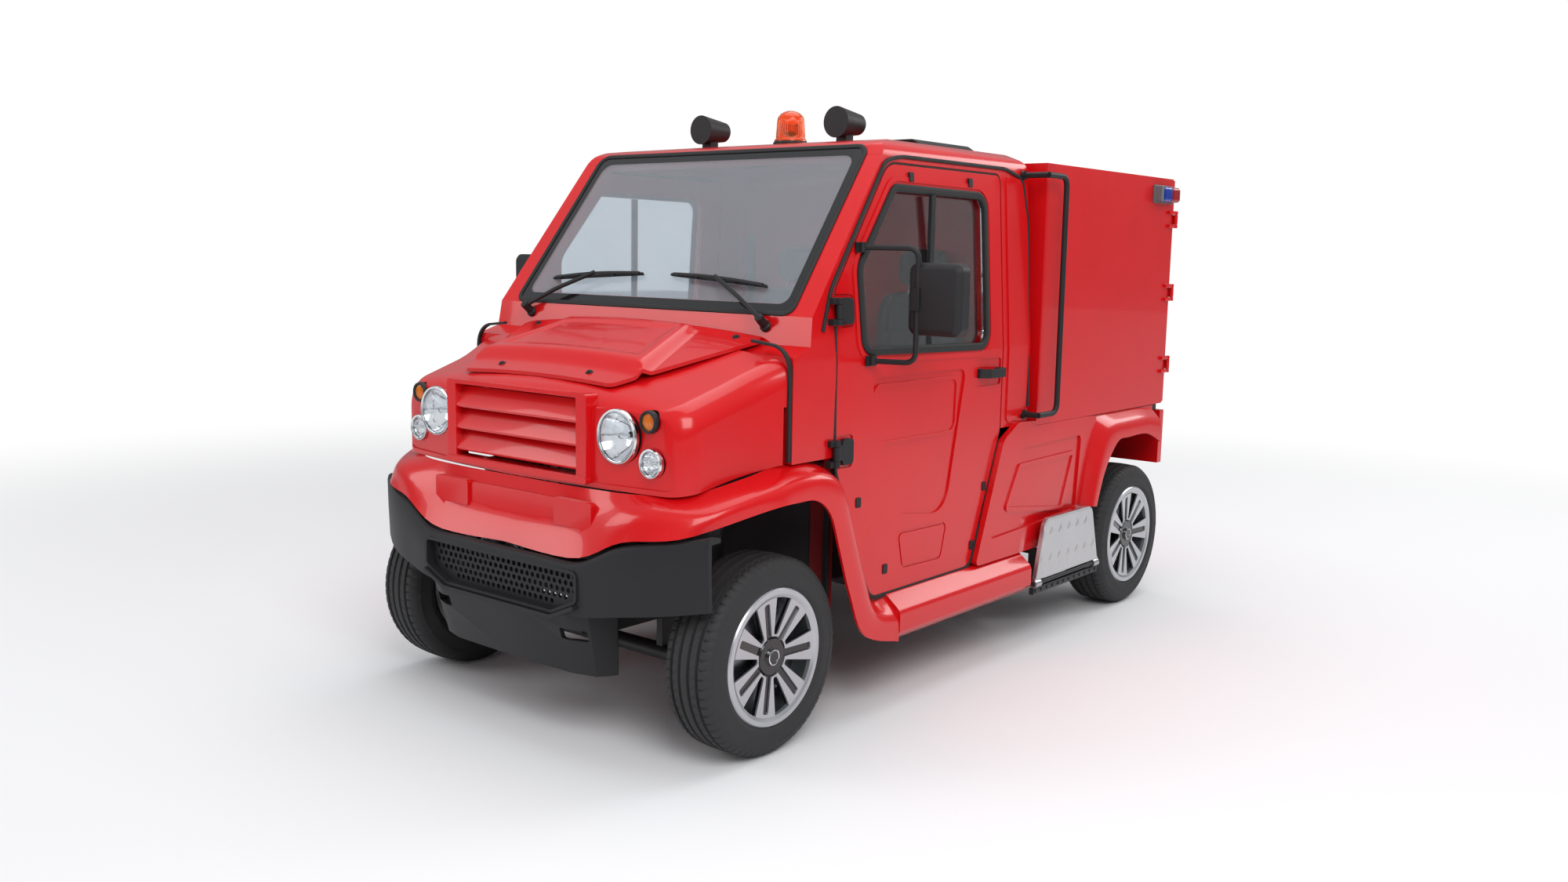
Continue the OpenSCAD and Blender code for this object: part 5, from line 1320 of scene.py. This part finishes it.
points[:, :2] *= (1 + ribbed * beacon["ribDepth"] / 0.05 * np.cos(beacon["ribs"] * angle))[:, None]
dome = build("beaconDome", [(points + beaconPlace, faces)], "chassis", "beaconLens", sharp=60)
reflector = [(0.004, 0.016), (0.018, 0.020), (0.030, 0.034), (0.034, 0.058), (0.033, 0.058), (0.029, 0.036),
             (0.017, 0.022), (0.004, 0.018)]
build("beaconFoot", [turned(footProfile, beaconPlace, "z", 72)], "chassis", "blackPlastic")
build("beaconReflector", [turned(reflector, beaconPlace, "z", 48),
                          turned([(0.0, 0.02), (0.009, 0.022), (0.011, 0.05), (0.007, 0.062), (0.0, 0.064)],
                                 beaconPlace, "z", 24)],
      "chassis", "chrome")
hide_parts("beacon")

# strobes: a grey tray on the box's top rear corners, a blue and a red lens side by side
strobe = {"x": 0.700, "stations": (2.312, 2.490), "heights": (1.598, 1.668), "tray": 0.010, "depth": 0.040}


# Lens of a strobe: a box rounded on its outer edges, standing on the tray, ribbed across by a cosine of its
# length.
def strobeLens(side, first, final, ribs=9):
    low, high = strobe["heights"][0] + 0.006, strobe["heights"][1] - 0.006
    profile = rounded([(strobe["tray"], low), (strobe["depth"], low), (strobe["depth"], high),
                       (strobe["tray"], high)],
                      [0.001, 0.012, 0.012, 0.001], 7)
    middle = np.array([strobe["tray"], (low + high) / 2])
    along = np.linspace(0, 1, ribs * 8)
    end = np.clip(np.minimum(along, 1 - along) * 14, 0, 1)
    scale = 0.86 + 0.14 * np.sqrt(1 - (1 - end) ** 2) + 0.012 * np.cos(along * ribs * 2 * np.pi)
    ring = middle + (profile - middle) * scale[:, None, None]
    y = np.broadcast_to((frontAxleY + first + (final - first) * along)[:, None], ring.shape[:2])
    points, faces = weave(np.stack([side * (strobe["x"] + ring[..., 0]), y, ring[..., 1]], -1),
                          closeColumns=True)
    count, last = len(profile), len(points) - len(profile)
    return points, faces + [list(range(count)), list(range(last, last + count))]


for sideName, side in sides.items():
    s0, s1 = strobe["stations"]
    z0, z1 = strobe["heights"]
    face = rounded([(s0, z0), (s1, z0), (s1, z1), (s0, z1)], 0.006, 5)
    loop = np.column_stack([np.full(len(face), side * strobe["x"]), frontAxleY + face[:, 0], face[:, 1]])
    endCap = [block((min(side * 0.708, side * 0.736), frontAxleY + s0 + 0.004, z0 + 0.005),
                    (max(side * 0.708, side * 0.736), frontAxleY + s0 + 0.026, z1 - 0.005))]
    tray = build(f"{sideName}StrobeTray", [slab(loop, (side * strobe["tray"], 0, 0))] + endCap, "chassis",
                 "greyPlastic")
    roundEdges(tray, 0.002)
    build(f"{sideName}StrobeBlue", [strobeLens(side, s0 + 0.029, s0 + 0.100)], "chassis", "blueLens",
          sharp=60)
    build(f"{sideName}StrobeRed", [strobeLens(side, s0 + 0.104, s1 - 0.004)], "chassis", "redLens",
          sharp=60)
    if side == 1:
        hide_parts("strobe_lights")
print("roof and box lamps made")

# side steps: embossed plate on the folding panel, black edge, hinge rail below with its bolts
step = {"x": 0.7432, "lift": 0.0012,
        "corners": [(1.412, 0.2445), (1.4665, 0.4480), (1.8300, 0.4480), (1.8880, 0.2445)],
        "radii": [0.004, 0.042, 0.036, 0.004], "pitch": (0.067, 0.096), "diamond": (0.020, 0.030),
        "emboss": 0.0022, "grid": (70, 187), "railHeights": (0.190, 0.214)}


# Plate: between its two side edges at each height, raised into pyramids on a grid of diamonds, where the
# height is one less the sum of the two distances from the diamond's middle over its half sizes.
def stepPlate(side):
    edge = rounded(step["corners"], step["radii"], 12)
    middle = edge[:, 0].mean()
    chains = [edge[edge[:, 0] < middle], edge[edge[:, 0] >= middle]]
    chains = [c[np.argsort(c[:, 1])] for c in chains]
    rows, columns = step["grid"]
    z = np.linspace(edge[:, 1].min(), edge[:, 1].max(), rows)[:, None]
    left, right = (np.interp(z, c[:, 1], c[:, 0]) for c in chains)
    s = left + (right - left) * np.linspace(0, 1, columns)
    z = z + 0 * s
    across = (s - middle + step["pitch"][0] / 2) % step["pitch"][0] - step["pitch"][0] / 2
    up = (z - 0.300 + step["pitch"][1] / 2) % step["pitch"][1] - step["pitch"][1] / 2
    peak = np.clip(1 - abs(across) / step["diamond"][0] - abs(up) / step["diamond"][1], 0, 1)
    inside = np.clip(np.minimum(np.minimum(s - left, right - s), np.minimum(z - z.min(), z.max() - z)) / 0.01,
                     0, 1)
    out = step["x"] + step["lift"] + step["emboss"] * np.minimum(peak * 2.2, 1) * inside
    front = np.stack([side * out, frontAxleY + s, z], -1)
    points, faces = weave(front)
    rim = np.concatenate([np.arange(columns), columns - 1 + columns * np.arange(1, rows),
                          rows * columns - 1 - np.arange(1, columns), columns * np.arange(rows - 2, 0, -1)])
    back = points[rim].copy()
    back[:, 0] = side * (step["x"] - 0.001)
    start, count = len(points), len(rim)
    follow = np.roll(np.arange(count), -1)
    wall = np.stack([rim, rim[follow], start + follow, start + np.arange(count)], -1)
    return np.vstack([points, back]), faces + wall.tolist() + [list(range(start, start + count))]


for sideName, side in sides.items():
    build(f"{sideName}StepPlate", [stepPlate(side)], f"side_step_{sideName}", "diamondPlate",
          sharp=25)
    z0, z1 = step["railHeights"]
    rail = rounded([(z0, 0.722), (z1, 0.722), (z1, 0.7405), (z0, 0.7405)], 0.003, 4)
    loop = np.column_stack([side * rail[:, 1], np.full(len(rail), frontAxleY + 1.405), rail[:, 0]])
    bolts = [turned([(0.0, 0.0), (0.006, 0.0), (0.006, 0.003), (0.0, 0.0045)] * np.array((1, side)),
                    (side * 0.7405, y, (z0 + z1) / 2), "x", 12)
             for y in np.linspace(frontAxleY + 1.42, frontAxleY + 1.885, 12)]
    build(f"{sideName}StepRail", [slab(loop, (0, 0.495, 0))] + bolts, "chassis", "frameBlack")
print("side steps made")

# padded seats: low and high corners on the left seat, metres of lean back for each metre of height, and the
# sewn channels as (axis, place) pairs
pads = {"Cushion": {"low": (0.097, -0.215, 0.664), "high": (0.463, 0.245, 0.772), "lean": 0.0, "square": 0.32,
                    "channels": ((0, 0.175), (0, 0.385), (1, -0.090), (1, 0.010), (1, 0.110)), "cap": 0.012},
        "Back": {"low": (0.100, 0.165, 0.768), "high": (0.460, 0.262, 1.252), "lean": 0.09, "square": 0.32,
                 "channels": ((0, 0.178), (0, 0.382), (2, 0.90), (2, 1.00), (2, 1.10)), "cap": 0.010},
        "Headrest": {"low": (0.186, 0.216, 1.268), "high": (0.374, 0.272, 1.396), "lean": 0.06,
                     "square": 0.45, "channels": (), "cap": 0.008}}
padMake = {"voxel": 0.009, "pressure": 4.0, "steps": 20, "channelDepth": 0.005, "channelWidth": 0.006}


# Closed cushion form: a box whose corners are rounded by powers of the sines and cosines of two angles.
def padForm(low, high, lean, square, side):
    low, high = np.array(low), np.array(high)
    middle, half = (low + high) / 2, (high - low) / 2
    turn, rise = np.meshgrid(np.linspace(0, 2 * np.pi, 96, endpoint=False),
                             np.linspace(-np.pi / 2, np.pi / 2, 49), indexing="ij")

    def power(value):
        return np.sign(value) * abs(value) ** square

    unit = np.stack([power(np.cos(rise)) * power(np.cos(turn)), power(np.cos(rise)) * power(np.sin(turn)),
                     power(np.sin(rise))], -1)
    grid = middle + half * unit
    grid[..., 1] += lean * (grid[..., 2] - low[2])
    return weave(grid * (side, 1, 1), closeRows=True)


# Fills pads with air: each is cut into even cells, blown up as cloth, and no point may move further than its
# cap.
def fillPads(pieces):
    for piece, form in pieces:
        cells = piece.modifiers.new("cells", "REMESH")
        cells.mode = "VOXEL"
        cells.voxel_size = padMake["voxel"]
        mesh = settledMesh(piece)
        piece.modifiers.clear()
        piece.data = mesh
    for piece, form in pieces:
        cloth = piece.modifiers.new("filling", "CLOTH")
        cloth.settings.use_pressure = True
        cloth.settings.uniform_pressure_force = padMake["pressure"]
        cloth.settings.effector_weights.gravity = 0
    for step in range(1, padMake["steps"] + 1):
        scene.frame_set(step)
    filled = [meshPoints(settledMesh(piece)) for piece, form in pieces]
    for (piece, form), points in zip(pieces, filled):
        piece.modifiers.clear()
        start = meshPoints(piece.data)
        move = points - start
        length = np.linalg.norm(move, axis=1, keepdims=True)
        start += move * np.minimum(1, form["cap"] / np.maximum(length, 1e-9))
        piece.data.vertices.foreach_set("co", start.ravel())
    scene.frame_set(1)
    for piece, form in pieces:
        points = meshPoints(piece.data)
        normals = np.zeros(len(points) * 3)
        piece.data.vertices.foreach_get("normal", normals)
        depth = np.zeros(len(points))
        for axis, place in form["channels"]:
            gap = abs(points[:, axis] * (form["side"] if axis == 0 else 1)) if axis == 0 else points[:, axis]
            depth = np.maximum(depth, np.exp(-((gap - place) / padMake["channelWidth"]) ** 2))
        points -= normals.reshape(-1, 3) * (depth * padMake["channelDepth"])[:, None]
        piece.data.vertices.foreach_set("co", points.ravel())
        piece.data.shade_smooth()
        piece.data.update()
        smooth = piece.modifiers.new("smooth", "SUBSURF")
        smooth.levels = smooth.render_levels = 1
        wear(piece, "seatFabric")


padPieces = []
for sideName, side in sides.items():
    for padName, form in pads.items():
        shape = padForm(form["low"], form["high"], form["lean"], form["square"], side)
        padPieces.append((build(f"{sideName}Seat{padName}", [shape], "chassis", "seatFabric"),
                          {**form, "side": side}))
fillPads(padPieces)
for sideName, side in sides.items():
    stalks = [tube(bentPath([(side * x, 0.222, 1.20), (side * x, 0.232, 1.24), (side * x, 0.244, 1.30)], 0.02,
                            5), 0.006, (1, 0, 0))
              for x in (0.235, 0.325)]
    rails = [block((min(side * x, side * (x + 0.03)), -0.200, 0.652),
                   (max(side * x, side * (x + 0.03)), 0.235, 0.668))
             for x in (0.125, 0.405)]
    build(f"{sideName}SeatFrame", stalks + rails, "chassis", "bareSteel")
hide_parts("seats")

# belts: a strap over each outer shoulder to a buckle beside the cushion
belt = {"half": 0.023, "thick": 0.0008}
for sideName, side in sides.items():
    path = bentPath([(side * 0.575, 0.300, 1.46), (side * 0.560, 0.285, 1.20), (side * 0.520, 0.262, 0.80),
                     (side * 0.505, 0.240, 0.66)], 0.1, 10)
    half, thick = belt["half"], belt["thick"]
    strap = [(-half, -thick), (half, -thick), (half, thick), (-half, thick)]
    build(f"{sideName}Belt", [swept(path, strap, (0, -1, 0))], "chassis", "beltWeb")
print("seats made")

# steering wheel and the driver's binnacle
helm = {"centre": (0.310, frontAxleY + 0.590, 1.040), "tilt": math.radians(32), "radius": 0.178,
        "grip": 0.0135}
axis = np.array((0, -math.cos(helm["tilt"]), -math.sin(helm["tilt"])))
across, upward = np.array((1.0, 0, 0)), np.cross(axis, (1.0, 0, 0))
angle = np.linspace(0, 2 * np.pi, 97)[:-1, None]
ring = helm["centre"] + helm["radius"] * (np.cos(angle) * across + np.sin(angle) * upward)
helmParts = [tube(ring, helm["grip"], axis, 20, True)]
for turn in (0, math.pi, 1.5 * math.pi):
    out = math.cos(turn) * across + math.sin(turn) * upward
    reach = np.linspace(0.02, helm["radius"] - 0.006, 14)[:, None]
    dish = axis * (0.018 * (1 - (reach / helm["radius"]) ** 2))
    flat = rounded([(-0.016, -0.006), (0.016, -0.006), (0.016, 0.006), (-0.016, 0.006)], 0.005, 5)
    helmParts.append(swept(np.array(helm["centre"]) + reach * out + dish, flat, -axis))
hubFace = rounded([(0.0005, -0.012), (0.046, -0.008), (0.052, 0.012), (0.040, 0.034), (0.0005, 0.036)],
                  [0.0003, 0.008, 0.008, 0.006, 0.0003], 5)
helmParts.append(turnedOn(hubFace, np.array(helm["centre"]), axis, 48))
piece = build("steeringWheelRim", helmParts, "steering_wheel", "blackPlastic")
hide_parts("steering_wheel")

binnacle = rounded([(0.455, 1.050), (0.526, 1.040), (0.512, 1.088), (0.486, 1.112), (0.436, 1.080)],
                   [0.01, 0.01, 0.012, 0.025, 0.01], 6)
loop = np.column_stack([np.full(len(binnacle), 0.190), frontAxleY + binnacle[:, 0], binnacle[:, 1]])
hood = build("binnacle", [slab(loop, (0.240, 0, 0))], "chassis", "blackPlastic")
roundEdges(hood, 0.006, 3)
print("cabin made")

# mirror glasses, on the side that faces the driver
mirrorGlass = {"corners": [(0.793, 1.156), (0.957, 1.156), (0.957, 1.347), (0.793, 1.347)], "station": 0.5368,
               "radius": 0.022}
for sideName, side in sides.items():
    face = rounded(mirrorGlass["corners"], mirrorGlass["radius"], 8)
    loop = np.column_stack([side * face[:, 0], np.full(len(face), frontAxleY + mirrorGlass["station"]),
                            face[:, 1]])
    build(f"{sideName}MirrorGlass", [slab(loop, (0, 0.0016, 0))], f"door_{sideName}", "mirrorSilver")
print("mirrors made")

# rear: lamps in three bands, a blank plate in its recess, and locking bars on the box's doors
tail = {"x": (0.574, 0.650), "front": 1.4365, "back": 1.4600,
        "bands": (("redLens", 0.690, 0.738), ("amberLens", 0.648, 0.688),
                                                                        ("clearLens", 0.602, 0.646))}
for sideName, side in sides.items():
    low, high = sorted((side * tail["x"][0], side * tail["x"][1]))
    case = build(f"{sideName}TailCase",
                 [block((low - 0.002, tail["front"] - 0.012, 0.598),
                        (high + 0.002, tail["front"] + 0.004, 0.742))],
                 "chassis", "blackPlastic")
    roundEdges(case, 0.003)
    for number, (lens, z0, z1) in enumerate(tail["bands"]):
        face = rounded([(low + 0.001, z0), (high - 0.001, z0), (high - 0.001, z1), (low + 0.001, z1)], 0.006,
                       5)
        loop = np.column_stack([face[:, 0], np.full(len(face), tail["front"]), face[:, 1]])
        cell = build(f"{sideName}TailLens{number}", [slab(loop, (0, tail["back"] - tail["front"], 0))],
                     "chassis", lens)
        roundEdges(cell, 0.003, 3)

plate = {"half": 0.240, "heights": (0.612, 0.708), "back": 1.4485}
face = rounded([(-plate["half"], plate["heights"][0]), (plate["half"], plate["heights"][0]),
                (plate["half"], plate["heights"][1]), (-plate["half"], plate["heights"][1])], 0.008, 6)
build("rearPlate", [slab(np.column_stack([face[:, 0], np.full(len(face), plate["back"]), face[:, 1]]),
                         (0, 0.0015, 0))]
                  + [turned([(0.0, 0.0), (0.005, 0.0), (0.004, 0.0035), (0.0, 0.0042)],
                            (x, plate["back"] + 0.0015, 0.660), "y", 14)
                     for x in (-0.19, 0.19)], "chassis", "platePaint")

lock = {"x": 0.042, "radius": 0.008, "low": 0.812, "high": 1.676, "y": 1.4600}
for sideName, side in sides.items():
    x = side * lock["x"]
    bar = tube([(x, lock["y"], z) for z in np.linspace(lock["low"], lock["high"], 6)], lock["radius"],
               (0, 1, 0), 14)
    guides = [block((x - 0.020, lock["y"] - 0.010, z - 0.014), (x + 0.020, lock["y"] + 0.011, z + 0.014))
              for z in (0.85, 1.10, 1.42, 1.64)]
    lever = swept(bentPath([(x, lock["y"] + 0.012, 1.240), (x + side * 0.03, lock["y"] + 0.018, 1.240),
                            (x + side * 0.19, lock["y"] + 0.016, 1.225)], 0.012, 6),
                  rounded([(-0.010, -0.003), (0.010, -0.003), (0.010, 0.003), (-0.010, 0.003)], 0.002, 4),
                  (0, 1, 0))
    build(f"{sideName}LockBar", [bar, lever] + guides, f"box_door_{sideName}", "bareSteel")
print("rear made")

# stage
stageLook = {"floorSize": 60.0, "floorGrey": (0.86, 0.86, 0.87, 1), "fadeFrom": 2.4, "fadeTo": 7.0,
             "worldHigh": (0.95, 0.97, 1.0, 1), "worldLow": (0.24, 0.24, 0.25, 1), "worldStrength": 0.62}


def addFloor(look):
    half = look["floorSize"] / 2
    mesh = bpy.data.meshes.new("floor")
    mesh.from_pydata([(-half, -half, 0), (half, -half, 0), (half, half, 0), (-half, half, 0)], [],
                     [(0, 1, 2, 3)])
    floor = bpy.data.objects.new("floor", mesh)
    scene.collection.objects.link(floor)
    material = bpy.data.materials.new("paleFloor")
    material.use_nodes = True
    tree = material.node_tree
    surface = tree.nodes["Principled BSDF"]
    surface.inputs["Base Color"].default_value = look["floorGrey"]
    surface.inputs["Roughness"].default_value = 0.9
    surface.inputs["Specular IOR Level"].default_value = 0.1
    place = addNode(tree, "ShaderNodeTexCoord")
    reach = addNode(tree, "ShaderNodeVectorMath", operation="LENGTH")
    tree.links.new(place.outputs["Object"], reach.inputs[0])
    fade = addNode(tree, "ShaderNodeMapRange", interpolation_type="SMOOTHSTEP")
    fade.inputs["From Min"].default_value = look["fadeFrom"]
    fade.inputs["From Max"].default_value = look["fadeTo"]
    tree.links.new(reach.outputs["Value"], fade.inputs["Value"])
    path = addNode(tree, "ShaderNodeLightPath")
    seen = addNode(tree, "ShaderNodeMath", operation="SUBTRACT", use_clamp=True)
    tree.links.new(fade.outputs["Result"], seen.inputs[0])
    tree.links.new(path.outputs["Is Glossy Ray"], seen.inputs[1])
    white = addNode(tree, "ShaderNodeEmission", Strength=1.0)
    blend = addNode(tree, "ShaderNodeMixShader")
    tree.links.new(seen.outputs[0], blend.inputs[0])
    tree.links.new(surface.outputs[0], blend.inputs[1])
    tree.links.new(white.outputs[0], blend.inputs[2])
    tree.links.new(blend.outputs[0], tree.nodes["Material Output"].inputs["Surface"])
    mesh.materials.append(material)


def addWorld(look):
    world = bpy.data.worlds.new("studio")
    scene.world = world
    world.use_nodes = True
    tree = world.node_tree
    output = tree.nodes["World Output"]
    lit = tree.nodes["Background"]
    lit.inputs["Strength"].default_value = look["worldStrength"]
    place = addNode(tree, "ShaderNodeTexCoord")
    split = addNode(tree, "ShaderNodeSeparateXYZ")
    tree.links.new(place.outputs["Generated"], split.inputs[0])
    height = addNode(tree, "ShaderNodeMapRange")
    height.inputs["From Min"].default_value, height.inputs["From Max"].default_value = -0.1, 0.8
    tree.links.new(split.outputs["Z"], height.inputs["Value"])
    sky = addNode(tree, "ShaderNodeMix", data_type="RGBA")
    sky.inputs[6].default_value, sky.inputs[7].default_value = look["worldLow"], look["worldHigh"]
    tree.links.new(height.outputs["Result"], sky.inputs[0])
    tree.links.new(sky.outputs[2], lit.inputs["Color"])
    white = addNode(tree, "ShaderNodeBackground", Strength=1.0)
    white.inputs["Color"].default_value = (1, 1, 1, 1)
    path = addNode(tree, "ShaderNodeLightPath")
    seen = addNode(tree, "ShaderNodeMath", operation="MAXIMUM")
    tree.links.new(path.outputs["Is Camera Ray"], seen.inputs[0])
    tree.links.new(path.outputs["Is Transmission Ray"], seen.inputs[1])
    blend = addNode(tree, "ShaderNodeMixShader")
    tree.links.new(seen.outputs[0], blend.inputs[0])
    tree.links.new(lit.outputs[0], blend.inputs[1])
    tree.links.new(white.outputs[0], blend.inputs[2])
    tree.links.new(blend.outputs[0], output.inputs["Surface"])


def addLamp(name, place, target, size, power):
    lamp = bpy.data.objects.new(name, bpy.data.lights.new(name, "AREA"))
    lamp.data.shape = "RECTANGLE"
    lamp.data.size, lamp.data.size_y = size
    lamp.data.energy = power
    lamp.location = place
    lamp.rotation_euler = (Vector(target) - Vector(place)).to_track_quat("-Z", "Y").to_euler()
    scene.collection.objects.link(lamp)


addFloor(stageLook)
addWorld(stageLook)
addLamp("keyLight", (4.5, -3.5, 4.6), (0, 0, 0.7), (3.2, 3.2), 190)
addLamp("frontFill", (-3.8, -5.2, 3.0), (0, -0.6, 0.7), (3.0, 2.4), 80)
addLamp("topLight", (0.0, 0.6, 5.4), (0, 0.2, 0), (4.0, 5.0), 105)
addLamp("backRim", (2.5, 5.0, 3.6), (0, 1.0, 0.8), (3.0, 2.0), 75)
print("stage set")
